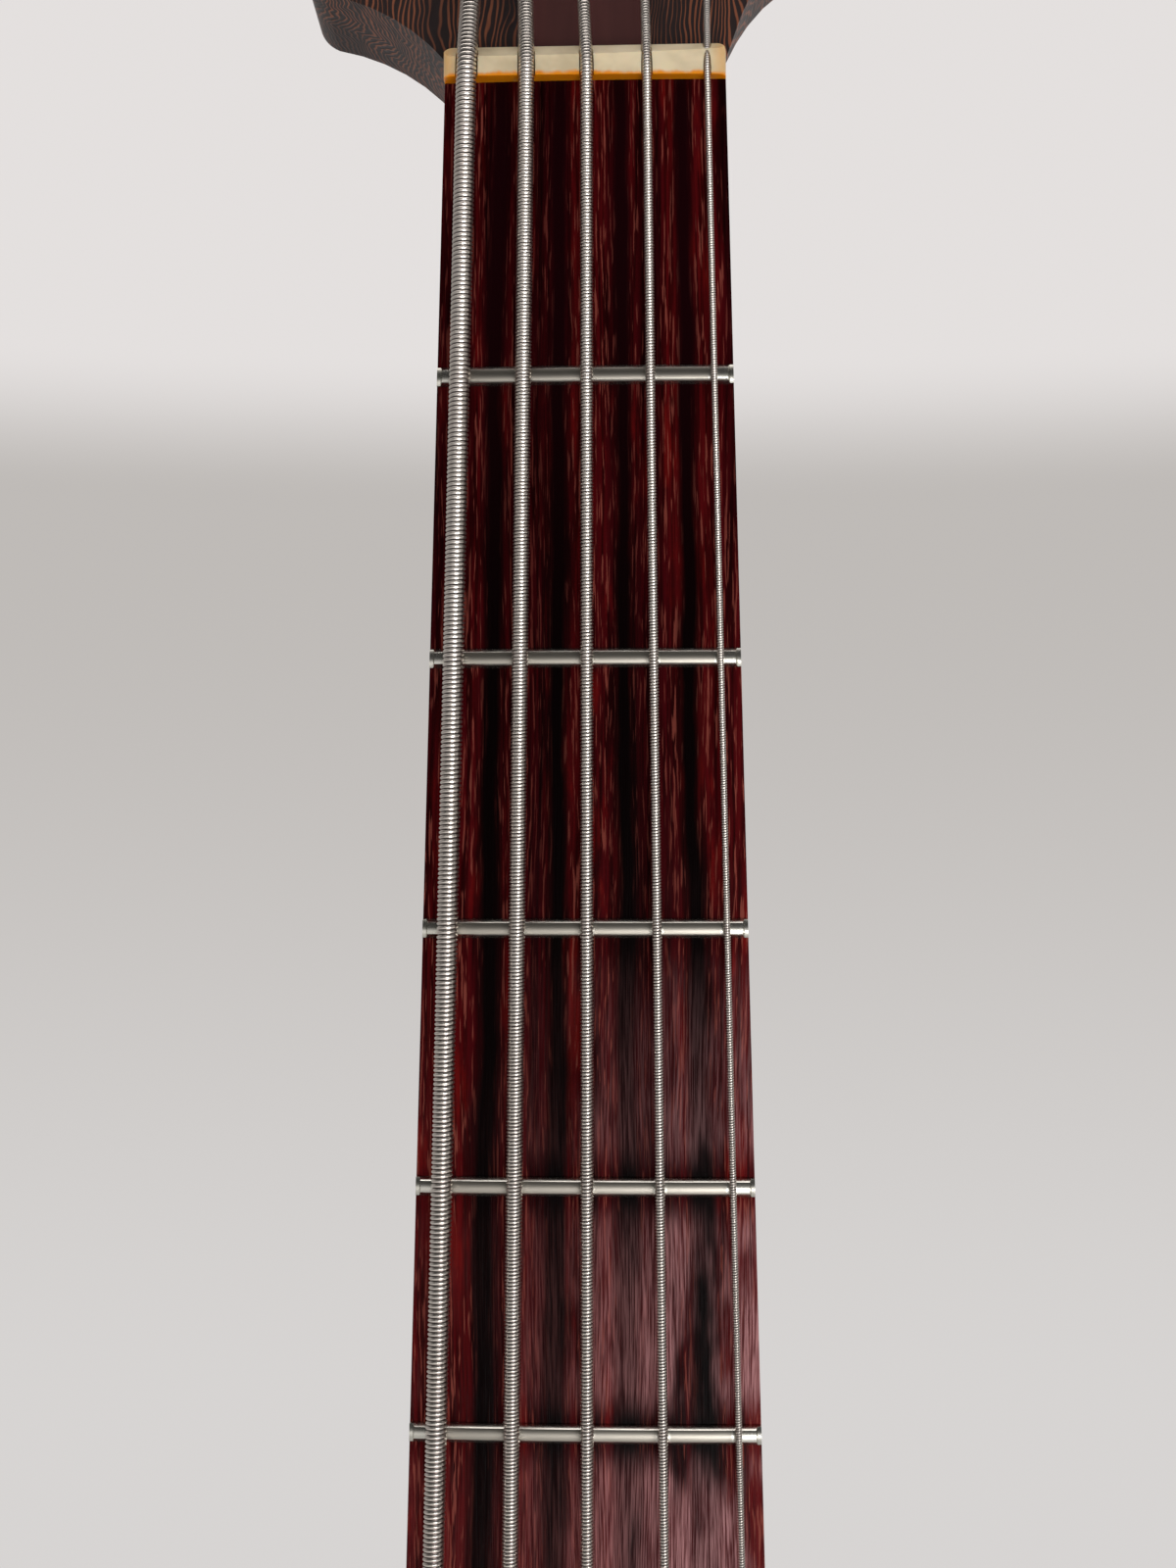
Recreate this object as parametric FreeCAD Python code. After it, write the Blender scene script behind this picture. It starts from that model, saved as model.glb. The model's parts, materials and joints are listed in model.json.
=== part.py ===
import FreeCAD, Part
import math
import os

# Five-string electric bass guitar, in millimetres.
# It is drawn lying on its back: X towards the treble side, Y towards the headstock, Z out of the
# front. Y is 0 at the front of the nut and Z is 0 where the fretboard is glued to the neck.
# The finished pieces are turned upright, headstock up and front facing -Y.

V = FreeCAD.Vector

# Scale, fretboard and frets
SCALE = 863.6
FRET_COUNT = 24
BOARD_NUT_WIDTH = 45.7
BOARD_END_WIDTH = 75.2
BOARD_THICKNESS = 6.5
BOARD_RADIUS = 508.0
BOARD_PAST_LAST_FRET = 10.3
FRET_WIDTH = 3.0
FRET_HEIGHT = 1.2
FRET_WORN_FLAT = 1.8
FRET_END_SETBACK = 1.1
TANG_WIDTH = 0.5
TANG_DEPTH = 1.7
SLOT_CLEARANCE = 0.05
SLOT_EXTRA_DEPTH = 0.2
DOT_FRETS = (3, 5, 7, 9, 12, 15, 17, 19, 21, 24)
DOT_RADIUS = 1.1
DOT_DEPTH = 2.5
DOT_SPREAD_AT_OCTAVE = 4.0
DOT_DROP = 2.6

# Nut
NUT_LENGTH = 5.5
NUT_RISE_BASS = 3.3
NUT_RISE_TREBLE = 2.3
NUT_BACK_DROP = 1.2
NUT_END_ROUND = 1.5
STRING_SLOT_CLEARANCE = 0.12

# Neck
NECK_DEPTH_NUT = 14.5
NECK_DEPTH_OCTAVE = 16.5
NECK_DEPTH_HEEL = 17.5
NECK_CORNER_NUT = 12.0
NECK_CORNER_OCTAVE = 14.0
NECK_CORNER_HEEL = 15.0
HEEL_DEPTH = 21.0
HEEL_CORNER = 3.0
HEEL_LENGTH = 84.0
HEEL_BLEND = 34.0
CORE_WIDTH = 20.0

# Headstock, in its own tilted plane: across, and along from the back of the nut
HEAD_TILT = 10.0
HEAD_DEPTH = 18.0
VOLUTE_DEPTH = 17.6
VOLUTE_CORNER = 5.0
VOLUTE_START = -16.0
VOLUTE_LENGTH = 30.0
SCOOP_ROOT_DEPTH = 1.5
SCOOP_MID = (11.0, -8.4)
SCOOP_LENGTH = 22.5
HEAD_ROOT_BASS = (-23.1, 0.0)
HEAD_FLARE_BASS = (-30.0, 6.9)
HEAD_SHOULDER_BASS = (-44.2, 13.4)
HEAD_CORNER_BASS = (-46.6, 15.3)
HEAD_CHEEK_BASS = (-47.8, 18.4)
HEAD_BULGE_BASS = (-50.0, 28.0)
HEAD_WIDEST_BASS = (-51.0, 38.0)
HEAD_UPPER_BASS = (-43.0, 134.0)
HEAD_CREST_BASS = (-33.0, 157.0)
HEAD_TIP = (-10.0, 165.0)
HEAD_CREST_TREBLE = (22.0, 147.0)
HEAD_UPPER_TREBLE = (37.0, 112.0)
HEAD_WIDEST_TREBLE = (46.0, 50.0)
HEAD_CORNER_TREBLE = (45.2, 42.0)
HEAD_SHOULDER_TREBLE = (41.0, 36.0)
HEAD_FLARE_TREBLE = (28.0, 14.0)
HEAD_ROOT_TREBLE = (22.9, 0.0)

# Truss rod with a spoke wheel at the heel end
TRUSS_BAR_RADIUS = 2.2
TRUSS_BAR_SPACING = 5.0
TRUSS_TOP_BAR = 3.0
TRUSS_BLOCK_LENGTH = 12.0
TRUSS_NUT_SETBACK = 8.0
TRUSS_CLEARANCE = 0.1
WHEEL_RADIUS = 6.5
WHEEL_LENGTH = 7.0
WHEEL_GAP = 1.5
SPOKE_HOLES = 4
SPOKE_HOLE_RADIUS = 1.3
SPOKE_HOLE_DEPTH = 3.0
RUNNING_CLEARANCE = 0.05

# Tuners, from the bass side: letter, post place on the headstock, side that the key points to
TUNER_POSTS = {
    "b": (-24.5, 40.0, -1),
    "e": (-18.0, 80.0, -1),
    "a": (-12.0, 120.0, -1),
    "d": (13.0, 85.0, 1),
    "g": (25.0, 45.0, 1),
}
POST_RADIUS = 4.7
POST_RISE = 19.0
POST_CHAMFER = 0.8
POST_SLOT_MARGIN = 1.05
BUSHING_RADIUS = 6.9
BUSHING_DEPTH = 10.0
BUSHING_FLANGE_RADIUS = 8.5
BUSHING_FLANGE_HEIGHT = 3.0
HOLE_CLEARANCE = 0.1
HOUSING_RADIUS = 10.5
HOUSING_DEPTH = 13.0
HOUSING_ROUND = 2.0
POST_SEAT_DEPTH = 10.0
ARM_WIDTH = 13.0
WORM_OFFSET = 8.0
KEY_SHAFT_RADIUS = 3.0
KEY_SHAFT_SEAT = 16.0
KEY_COLLAR_RADIUS = 4.6
KEY_COLLAR_LENGTH = 3.0
KEY_GAP = 0.3
KEY_NECK_LENGTH = 5.0
KEY_LENGTH = 20.0
KEY_WIDTH = 25.0
KEY_THICKNESS = 6.5
KEY_ROUND = 2.4
EAR_INSET = 5.0
EAR_AHEAD = 11.0
EAR_RADIUS = 3.6
EAR_DEPTH = 3.0
TUNER_SCREW_RADIUS = 1.4
TUNER_SCREW_LENGTH = 12.0
TUNER_SCREW_HEAD = 2.8
TUNER_SCREW_HEAD_HEIGHT = 1.8

# Strings, from the bass side: letter, diameter, turns on the post
STRINGS = (("b", 3.43, 2), ("e", 2.67, 2), ("a", 2.16, 3), ("d", 1.65, 3), ("g", 1.14, 3))
NUT_FIRST_STRING = -19.0
NUT_STRING_PITCH = 9.7
BRIDGE_STRING_PITCH = 18.0
BRIDGE_CENTRE = 1.0
NUT_ACTION = 0.35
OCTAVE_ACTION = 2.2
TURN_GAP = 0.6
WIND_CLEARANCE = 0.1
WIND_LIFT = 0.5
SADDLE_BEND = 10.0
NUT_BEND = 14.0
NUT_BREAK = 2.0
END_BEND_EXTRA = 0.9
LEAST_SELF_GAP = 0.4

# Body
BODY_TOP = -7.0
BODY_DEPTH = 42.0
BODY_EDGE_ROUND = 8.0
POCKET_CLEARANCE = 0.1
BODY_OUTLINE = (
    (0.0, -580.0),
    (-46.0, -574.0),
    (-72.0, -540.0),
    (-98.0, -480.0),
    (-122.0, -458.0),
    (-146.0, -478.0),
    (-158.0, -550.0),
    (-150.0, -640.0),
    (-143.0, -710.0),
    (-159.0, -800.0),
    (-160.0, -870.0),
    (-112.0, -931.6),
    (0.0, -952.0),
    (112.0, -930.4),
    (158.0, -862.0),
    (152.0, -790.0),
    (132.0, -705.0),
    (139.0, -630.0),
    (136.0, -566.0),
    (112.0, -540.0),
    (84.0, -566.0),
    (50.0, -598.0),
)
FOREARM_START = (-152.0, -745.0)
FOREARM_END = (-62.0, -950.0)
FOREARM_CORNER = (-158.0, -890.0)
FOREARM_DROP = 13.0
BELLY_RADIUS = 400.0
BELLY_CENTRE = (-190.0, -655.0)
BELLY_DEPTH = 18.0
HALF_SPACE = 600.0

# Neck plate and its screws
NECK_PLATE = (51.0, 64.0, 2.5)
NECK_PLATE_CORNER = 6.0
NECK_PLATE_CENTRE = -612.0
NECK_SCREW_SPACING = (38.0, 51.0)
NECK_SCREW_RADIUS = 2.4
NECK_SCREW_LENGTH = 43.0
NECK_SCREW_HEAD = 4.4
NECK_SCREW_HEAD_HEIGHT = 2.6

# Pickups
PICKUP_CENTRES = {"neck": -716.0, "bridge": -796.0}
PICKUP_SIZE = (101.6, 38.1, 21.0)
PICKUP_CORNER = 5.0
PICKUP_TOP = 2.5
PICKUP_EDGE_ROUND = 1.5
PICKUP_WALL = 2.0
PICKUP_HOLLOW = (74.0, 30.0)
PICKUP_CLEARANCE = 0.5
PICKUP_ROUTE_DEPTH = 24.0
PICKUP_SCREW_SPREAD = 88.0
PICKUP_SCREW_RADIUS = 1.6
PICKUP_SCREW_BITE = 10.0
PICKUP_SCREW_HEAD = 3.0
PICKUP_SCREW_HEAD_HEIGHT = 1.8
COIL_SIZE = (70.0, 12.0)
COIL_GAP = 3.0
COIL_CLEARANCE = 0.1
FOAM_SIZE = (52.0, 24.0)

# Bridge
BRIDGE_PLATE = (98.0, 70.0, 2.5)
BRIDGE_FRONT = 26.0
BRIDGE_CORNER = 4.0
BRIDGE_RAIL = 2.5
BRIDGE_RAIL_HEIGHT = 5.0
TAIL_LENGTH = 15.0
TAIL_HEIGHT = 18.2
SADDLE_GAP = 0.8
SADDLE_FRONT = 8.0
SADDLE_BACK = 13.0
SADDLE_FLOAT = 1.3
SADDLE_NOSE_DROP = 4.0
SADDLE_BACK_DROP = 4.5
SADDLE_TRAVEL = 4.0
HEIGHT_SCREW_RADIUS = 1.5
HEIGHT_SCREW_SPREAD = 11.5
HEIGHT_SCREW_SETBACK = 3.5
SCREW_CLEARANCE = 0.06
INTONATION_RADIUS = 1.25
INTONATION_RISE = 6.0
INTONATION_PAST_CREST = 2.0
INTONATION_HEAD = 2.3
INTONATION_HEAD_HEIGHT = 2.0
BALL_RADIUS = 3.1
BALL_WIDTH = 5.2
BALL_SEAT_RADIUS = 4.1
BALL_SEAT_DEPTH = 7.0
BALL_RISE = 12.8
BRIDGE_SCREWS = 5
BRIDGE_SCREW_SETBACK = 5.5
BRIDGE_SCREW_SPREAD = 80.0
BRIDGE_SCREW_RADIUS = 1.7
BRIDGE_SCREW_LENGTH = 22.0
BRIDGE_SCREW_HEAD = 3.4
BRIDGE_SCREW_HEAD_HEIGHT = 2.0

# Controls and electronics
KNOB_PLACES = {"volume": (94.0, -802.0), "blend": (108.0, -836.0), "tone": (104.0, -872.0)}
KNOB_RADIUS = 9.5
KNOB_HEIGHT = 15.0
KNOB_TAPER = 0.8
KNOB_ROUND = 1.2
KNOB_LIFT = 1.0
KNOB_RECESS_RADIUS = 7.4
KNOB_RECESS_DEPTH = 4.0
KNOB_SHAFT_DEPTH = 8.0
KNOB_RIBS = 24
KNOB_RIB_DEPTH = 0.5
POT_RADIUS = 12.0
POT_HEIGHT = 10.0
POT_SHAFT_RADIUS = 3.0
POT_SHAFT_SEAT = 6.0
POT_SLEEVE_RADIUS = 4.0
POT_NUT_RADIUS = 6.4
POT_NUT_HEIGHT = 2.5
POT_SLEEVE_PROUD = 3.0
CONTROL_TOP_WALL = 8.0
CONTROL_CENTRE = (102.0, -838.0)
CONTROL_SIZE = (56.0, 112.0)
CONTROL_CORNER = 22.0
COVER_LIP = 7.0
COVER_THICKNESS = 2.5
COVER_CLEARANCE = 0.2
COVER_SCREW_RADIUS = 1.3
COVER_SCREW_LENGTH = 9.0
COVER_SCREW_HEAD = 2.6
COVER_SCREW_HEAD_HEIGHT = 1.4
CAPACITOR_RADIUS = 4.5
CAPACITOR_LENGTH = 14.0
JACK_Y = -868.0
JACK_Z = -32.0
JACK_SEAT = 147.0
JACK_BARREL_RADIUS = 6.3
JACK_BARREL_LENGTH = 26.0
JACK_FLANGE_RADIUS = 9.5
JACK_FLANGE_HEIGHT = 2.5
JACK_SPOT_RADIUS = 11.0
JACK_BORE_RADIUS = 3.2
JACK_BORE_LENGTH = 22.0
LEAD_RADIUS = 1.4
LEAD_CHANNEL_RADIUS = 3.5
LEAD_X = 31.0
LEAD_RISE = 4.4
LEAD_BEND = 3.0
LINK_DROP = 5.0

# Strap buttons
STRAP_BASE_RADIUS = 6.5
STRAP_WAIST_RADIUS = 4.2
STRAP_RIM_RADIUS = 7.5
STRAP_HEIGHT = 13.0
STRAP_RIM_HEIGHT = 3.0
STRAP_BASE_HEIGHT = 2.0
STRAP_SPOT_RADIUS = 8.0
STRAP_SPOT_DEPTH = 1.0
STRAP_SCREW_RADIUS = 2.0
STRAP_SCREW_LENGTH = 38.0
STRAP_SCREW_HEAD = 3.9
STRAP_SCREW_HEAD_HEIGHT = 2.4

# Amount by which a cutting tool runs past the face that it cuts
PAST = 5.0
UP = V(0, 0, 1)
DOWN = V(0, 0, -1)
ALONG = V(0, 1, 0)
ACROSS = V(1, 0, 0)


def fret_y(number):
    """Distance of a fret from the nut, on the neck's own axis."""
    return -SCALE * (1 - 2 ** (-number / 12))


BOARD_END = fret_y(FRET_COUNT) - BOARD_PAST_LAST_FRET
HEEL_FRONT = BOARD_END + HEEL_LENGTH
BODY_BACK = BODY_TOP - BODY_DEPTH
BRIDGE_Y = -SCALE
PLATE_TOP = BODY_TOP + BRIDGE_PLATE[2]
HEAD = FreeCAD.Placement(V(0, NUT_LENGTH, 0), FreeCAD.Rotation(ACROSS, -HEAD_TILT))
HEAD_NORMAL = HEAD.Rotation.multVec(UP)


def half_width(y):
    """Half the fretboard's width at a place along the neck."""
    return (BOARD_NUT_WIDTH + (BOARD_END_WIDTH - BOARD_NUT_WIDTH) * y / BOARD_END) / 2


def crown_drop(x):
    """How far the fretboard's round top falls away from its middle."""
    return BOARD_RADIUS - math.sqrt(BOARD_RADIUS ** 2 - x ** 2)


def line(start, end):
    return Part.LineSegment(start, end).toShape()


def arc(start, middle, end):
    return Part.Arc(start, middle, end).toShape()


def outline(points):
    """Closed wire of straight edges."""
    return Part.Wire(Part.makePolygon(points + points[:1]))


def box(x, y, z):
    """Block between pairs of limits."""
    return Part.makeBox(x[1] - x[0], y[1] - y[0], z[1] - z[0], V(x[0], y[0], z[0]))


def rod(start, end, radius):
    run = end.sub(start)
    return Part.makeCylinder(radius, run.Length, start, run)


def rounded_block(centre, size, corner, z):
    """Block with rounded upright edges between two heights."""
    x = (centre[0] - size[0] / 2, centre[0] + size[0] / 2)
    y = (centre[1] - size[1] / 2, centre[1] + size[1] / 2)
    block = box(x, y, z)
    upright = [edge for edge in block.Edges if edge.Vertexes[0].Z != edge.Vertexes[1].Z]
    return block.makeFillet(corner, upright)


def flat_edges(shape, height):
    """Edges of a shape that lie at one height."""
    found = []
    for edge in shape.Edges:
        limits = edge.BoundBox
        if abs(limits.ZMin - height) < SLOT_CLEARANCE and abs(limits.ZMax - height) < SLOT_CLEARANCE:
            found.append(edge)
    return found


def screw(seat, direction, radius, length, head_radius, head_height):
    """Screw whose head stands on its seat and whose shank runs in along direction."""
    shank = Part.makeCylinder(radius, length, seat, direction)
    head = Part.makeCylinder(head_radius, head_height, seat, direction.negative())
    return shank.fuse(head)


def neck_section(half, depth, corner, place):
    """D-shaped section below its own top line, moved to its place."""
    side = corner - depth
    edges = [
        line(V(-half, 0, 0), V(half, 0, 0)),
        line(V(half, 0, 0), V(half, 0, side)),
    ]
    turn = corner * (1 - math.sqrt(0.5))
    edges.append(arc(V(half, 0, side), V(half - turn, 0, turn - depth), V(half - corner, 0, -depth)))
    edges.append(line(V(half - corner, 0, -depth), V(corner - half, 0, -depth)))
    edges.append(arc(V(corner - half, 0, -depth), V(turn - half, 0, turn - depth), V(-half, 0, side)))
    edges.append(line(V(-half, 0, side), V(-half, 0, 0)))
    wire = Part.Wire(edges)
    wire.Placement = place
    return wire


def neck_shaft():
    """Carved neck from the heel to where it runs out under the headstock."""
    stations = (
        (BOARD_END, HEEL_DEPTH, HEEL_CORNER),
        (HEEL_FRONT, HEEL_DEPTH, HEEL_CORNER),
        (HEEL_FRONT + HEEL_BLEND, NECK_DEPTH_HEEL, NECK_CORNER_HEEL),
        (fret_y(12), NECK_DEPTH_OCTAVE, NECK_CORNER_OCTAVE),
        (VOLUTE_START, NECK_DEPTH_NUT, NECK_CORNER_NUT),
    )
    level = FreeCAD.Rotation()
    sections = []
    for y, depth, corner in stations:
        place = FreeCAD.Placement(V(0, y, 0), level)
        sections.append(neck_section(half_width(y), depth, corner, place))
    root = half_width(0)
    sections.append(neck_section(root, VOLUTE_DEPTH, VOLUTE_CORNER, HEAD))
    runout = HEAD.multiply(FreeCAD.Placement(V(0, VOLUTE_LENGTH, 0), level))
    sections.append(neck_section(root, HEAD_DEPTH - SLOT_CLEARANCE, VOLUTE_CORNER, runout))
    return Part.makeLoft(sections, True, True)


def head_plate():
    """Flared headstock plate, scooped out underneath on the treble side where it meets the neck."""
    def at(point):
        return V(point[0], point[1], 0)

    edges = [
        arc(at(HEAD_ROOT_BASS), at(HEAD_FLARE_BASS), at(HEAD_SHOULDER_BASS)),
        arc(at(HEAD_SHOULDER_BASS), at(HEAD_CORNER_BASS), at(HEAD_CHEEK_BASS)),
        arc(at(HEAD_CHEEK_BASS), at(HEAD_BULGE_BASS), at(HEAD_WIDEST_BASS)),
        line(at(HEAD_WIDEST_BASS), at(HEAD_UPPER_BASS)),
        arc(at(HEAD_UPPER_BASS), at(HEAD_CREST_BASS), at(HEAD_TIP)),
        arc(at(HEAD_TIP), at(HEAD_CREST_TREBLE), at(HEAD_UPPER_TREBLE)),
        line(at(HEAD_UPPER_TREBLE), at(HEAD_WIDEST_TREBLE)),
        arc(at(HEAD_WIDEST_TREBLE), at(HEAD_CORNER_TREBLE), at(HEAD_SHOULDER_TREBLE)),
        arc(at(HEAD_SHOULDER_TREBLE), at(HEAD_FLARE_TREBLE), at(HEAD_ROOT_TREBLE)),
        line(at(HEAD_ROOT_TREBLE), at(HEAD_ROOT_BASS)),
    ]
    plate = Part.Face(Part.Wire(edges)).extrude(V(0, 0, -HEAD_DEPTH))
    scoop_end = V(0, SCOOP_LENGTH, -HEAD_DEPTH)
    scoop_root = V(0, 0, -SCOOP_ROOT_DEPTH)
    below = V(0, SCOOP_LENGTH, -HEAD_DEPTH - PAST)
    before = V(0, -PAST, -HEAD_DEPTH - PAST)
    start = V(0, -PAST, -SCOOP_ROOT_DEPTH)
    waste = Part.Face(Part.Wire([
        arc(scoop_end, V(0, *SCOOP_MID), scoop_root),
        line(scoop_root, start),
        line(start, before),
        line(before, below),
        line(below, scoop_end),
    ]))
    plate = plate.cut(waste.extrude(V(HEAD_WIDEST_TREBLE[0] + PAST, 0, 0)))
    plate.Placement = HEAD
    return plate


def make_neck():
    """Neck blank with its holes, sawn into a core strip and two outer laminas."""
    blank = neck_shaft().fuse(head_plate())
    tools = [truss_channel()]
    below = -HEAD_DEPTH - PAST
    for u, v, side in TUNER_POSTS.values():
        tools.append(head_rod(u, v, below, PAST, BUSHING_RADIUS + HOLE_CLEARANCE))
        u, v = ear_place(u, v, side)
        tip = tuner_screw_seat() + TUNER_SCREW_LENGTH + SCREW_CLEARANCE
        tools.append(head_rod(u, v, below, tip, TUNER_SCREW_RADIUS + SCREW_CLEARANCE))
    for x, y in neck_screw_places():
        top = neck_screw_seat() + NECK_SCREW_LENGTH + SCREW_CLEARANCE
        tools.append(rod(V(x, y, BODY_BACK), V(x, y, top), NECK_SCREW_RADIUS + SCREW_CLEARANCE))
    blank = blank.cut(Part.makeCompound(tools))
    limits = blank.BoundBox
    y = (limits.YMin - PAST, limits.YMax + PAST)
    z = (limits.ZMin - PAST, limits.ZMax + PAST)
    half = CORE_WIDTH / 2
    cuts = {
        "neck_lamina_bass": (limits.XMin - PAST, -half),
        "neck_core": (-half, half),
        "neck_lamina_treble": (half, limits.XMax + PAST),
    }
    return {name: [blank.common(box(x, y, z))] for name, x in cuts.items()}


def truss_low_bar():
    return -TRUSS_TOP_BAR - TRUSS_BAR_SPACING


def truss_channel():
    """Groove along the neck under the fretboard that takes the truss rod."""
    half = TRUSS_BAR_RADIUS + TRUSS_CLEARANCE
    low = truss_low_bar() - half
    return box((-half, half), (BOARD_END - PAST, -TRUSS_NUT_SETBACK + TRUSS_CLEARANCE), (low, PAST))


def make_truss_rod():
    """Two stacked bars joined by end blocks; the lower one carries the wheel."""
    far = -TRUSS_NUT_SETBACK
    low = truss_low_bar()
    lower = rod(V(0, wheel_end(), low), V(0, far, low), TRUSS_BAR_RADIUS)
    upper = rod(V(0, BOARD_END, -TRUSS_TOP_BAR), V(0, far, -TRUSS_TOP_BAR), TRUSS_BAR_RADIUS)
    half = TRUSS_BAR_RADIUS
    z = (low - half, -TRUSS_TOP_BAR + half)
    head_block = box((-half, half), (far - TRUSS_BLOCK_LENGTH, far), z)
    heel_block = box((-half, half), (BOARD_END, BOARD_END + TRUSS_BLOCK_LENGTH), z)
    return lower.fuse([upper, head_block, heel_block])


def wheel_end():
    return BOARD_END - WHEEL_GAP - WHEEL_LENGTH


def make_wheel():
    """Spoke wheel on the truss rod, turned with a pin through its side holes."""
    centre = V(0, wheel_end(), truss_low_bar())
    front = centre.add(V(0, WHEEL_LENGTH, 0))
    wheel = rod(centre, front, WHEEL_RADIUS)
    bore = rod(centre.sub(V(0, PAST, 0)), front.add(V(0, PAST, 0)), TRUSS_BAR_RADIUS + RUNNING_CLEARANCE)
    tools = [bore]
    middle = centre.add(V(0, WHEEL_LENGTH / 2, 0))
    for index in range(SPOKE_HOLES):
        angle = 2 * math.pi * index / SPOKE_HOLES
        spoke = V(math.sin(angle), 0, math.cos(angle))
        bottom = middle.add(spoke * (WHEEL_RADIUS - SPOKE_HOLE_DEPTH))
        tools.append(rod(bottom, middle.add(spoke * (WHEEL_RADIUS + PAST)), SPOKE_HOLE_RADIUS))
    return wheel.cut(Part.makeCompound(tools))


def board_plan(grow, z):
    """Fretboard's tapered plan as a wire at one height, its long sides moved out by grow."""
    near = half_width(0) + grow
    far = half_width(BOARD_END) + grow
    return outline([V(-near, 0, z), V(near, 0, z), V(far, BOARD_END, z), V(-far, BOARD_END, z)])


def board_drum(radius, start, end):
    """Cylinder about the axis of the fretboard's round top."""
    axis = BOARD_THICKNESS - BOARD_RADIUS
    return rod(V(0, start, axis), V(0, end, axis), radius)


def make_fretboard():
    """Tapered, radiused board with a slot for each fret and holes for the side dots."""
    blank = Part.Face(board_plan(0, 0)).extrude(UP * BOARD_THICKNESS)
    board = blank.common(board_drum(BOARD_RADIUS, BOARD_END - PAST, PAST))
    half = TANG_WIDTH / 2 + SLOT_CLEARANCE
    floor = BOARD_RADIUS - TANG_DEPTH - SLOT_EXTRA_DEPTH
    tools = []
    for number in range(1, FRET_COUNT + 1):
        y = fret_y(number)
        ring = board_drum(BOARD_RADIUS + PAST, y - half, y + half)
        tools.append(ring.cut(board_drum(floor, y - half - PAST, y + half + PAST)))
    tools.extend(make_side_dots())
    return board.cut(Part.makeCompound(tools))


def make_side_dots():
    """Round position marks let into the bass edge of the fretboard."""
    dots = []
    for number in DOT_FRETS:
        middle = (fret_y(number) + fret_y(number - 1)) / 2
        spread = DOT_SPREAD_AT_OCTAVE if number % 12 == 0 else 0.0
        for y in sorted({middle - spread, middle + spread}):
            edge = V(-half_width(y), y, BOARD_THICKNESS - DOT_DROP)
            slope = (half_width(BOARD_END) - half_width(0)) / BOARD_END
            inward = V(1, slope, 0).normalize()
            dots.append(Part.makeCylinder(DOT_RADIUS, DOT_DEPTH, edge, inward))
    return dots


def make_frets():
    """Frets with worn flat crowns on the board's radius, tangs in the slots and bevelled ends."""
    base = BOARD_THICKNESS
    half = FRET_WIDTH / 2
    tang = TANG_WIDTH / 2
    flat = FRET_WORN_FLAT / 2
    top = base + FRET_HEIGHT
    turn = math.radians(45)
    shoulder = flat + (half - flat) * math.cos(turn)
    rise = base + FRET_HEIGHT * math.sin(turn)
    axis = V(0, 0, BOARD_THICKNESS - BOARD_RADIUS)
    wide = Part.Face(board_plan(0, 0)).extrude(UP * BOARD_THICKNESS)
    bevel = Part.makeLoft([
        board_plan(0, base - crown_drop(half_width(BOARD_END))),
        board_plan(-FRET_END_SETBACK, base + FRET_HEIGHT),
    ], True, True)
    trim = wide.fuse(bevel)
    frets = []
    for number in range(1, FRET_COUNT + 1):
        y = fret_y(number)
        profile = Part.Face(Part.Wire([
            arc(V(0, y - half, base), V(0, y - shoulder, rise), V(0, y - flat, top)),
            line(V(0, y - flat, top), V(0, y + flat, top)),
            arc(V(0, y + flat, top), V(0, y + shoulder, rise), V(0, y + half, base)),
            line(V(0, y + half, base), V(0, y + tang, base)),
            line(V(0, y + tang, base), V(0, y + tang, base - TANG_DEPTH)),
            line(V(0, y + tang, base - TANG_DEPTH), V(0, y - tang, base - TANG_DEPTH)),
            line(V(0, y - tang, base - TANG_DEPTH), V(0, y - tang, base)),
            line(V(0, y - tang, base), V(0, y - half, base)),
        ]))
        swing = math.degrees(math.asin((half_width(y) + PAST) / BOARD_RADIUS))
        profile.rotate(axis, ALONG, -swing)
        frets.append(profile.revolve(axis, ALONG, 2 * swing).common(trim))
    return frets


def make_nut():
    """Bone nut on the end of the board, with a slot for each string."""
    half = half_width(0)
    edge = BOARD_THICKNESS - crown_drop(half)
    bass = V(-half, 0, edge + NUT_RISE_BASS)
    treble = V(half, 0, edge + NUT_RISE_TREBLE)
    crest = V(0, 0, BOARD_THICKNESS + (NUT_RISE_BASS + NUT_RISE_TREBLE) / 2)
    face = Part.Face(Part.Wire([
        line(V(-half, 0, 0), V(half, 0, 0)),
        line(V(half, 0, 0), treble),
        arc(treble, crest, bass),
        line(bass, V(-half, 0, 0)),
    ]))
    blank = face.extrude(V(0, NUT_LENGTH, 0))
    shelf = crest.z + PAST
    along = [end for end in blank.Edges if end.BoundBox.YLength > NUT_LENGTH / 2]
    upper = [end for end in along if end.CenterOfMass.z > NUT_END_ROUND]
    plan = box((-half, half), (0, NUT_LENGTH), (0, shelf))
    upright = [end for end in plan.Edges if end.BoundBox.ZLength > shelf / 2]
    rear = [end for end in upright if end.CenterOfMass.y > NUT_END_ROUND]
    blank = blank.makeFillet(NUT_END_ROUND, upper).common(plan.makeFillet(NUT_END_ROUND, rear))
    low = treble.z - NUT_BACK_DROP
    slope = Part.Face(outline([
        V(-half - PAST, NUT_LENGTH / 2, shelf),
        V(-half - PAST, NUT_LENGTH / 2, bass.z + NUT_BACK_DROP / 2),
        V(-half - PAST, NUT_LENGTH, low),
        V(-half - PAST, NUT_LENGTH, shelf),
    ]))
    blank = blank.cut(slope.extrude(V(2 * (half + PAST), 0, 0)))
    tools = []
    for index in range(len(STRINGS)):
        tools.append(string_solid(index, STRING_SLOT_CLEARANCE, False))
    return blank.cut(Part.makeCompound(tools))


def head_rod(u, v, low, high, radius):
    """Cylinder square to the headstock's face between two heights above that face."""
    return rod(HEAD.multVec(V(u, v, low)), HEAD.multVec(V(u, v, high)), radius)


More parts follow.
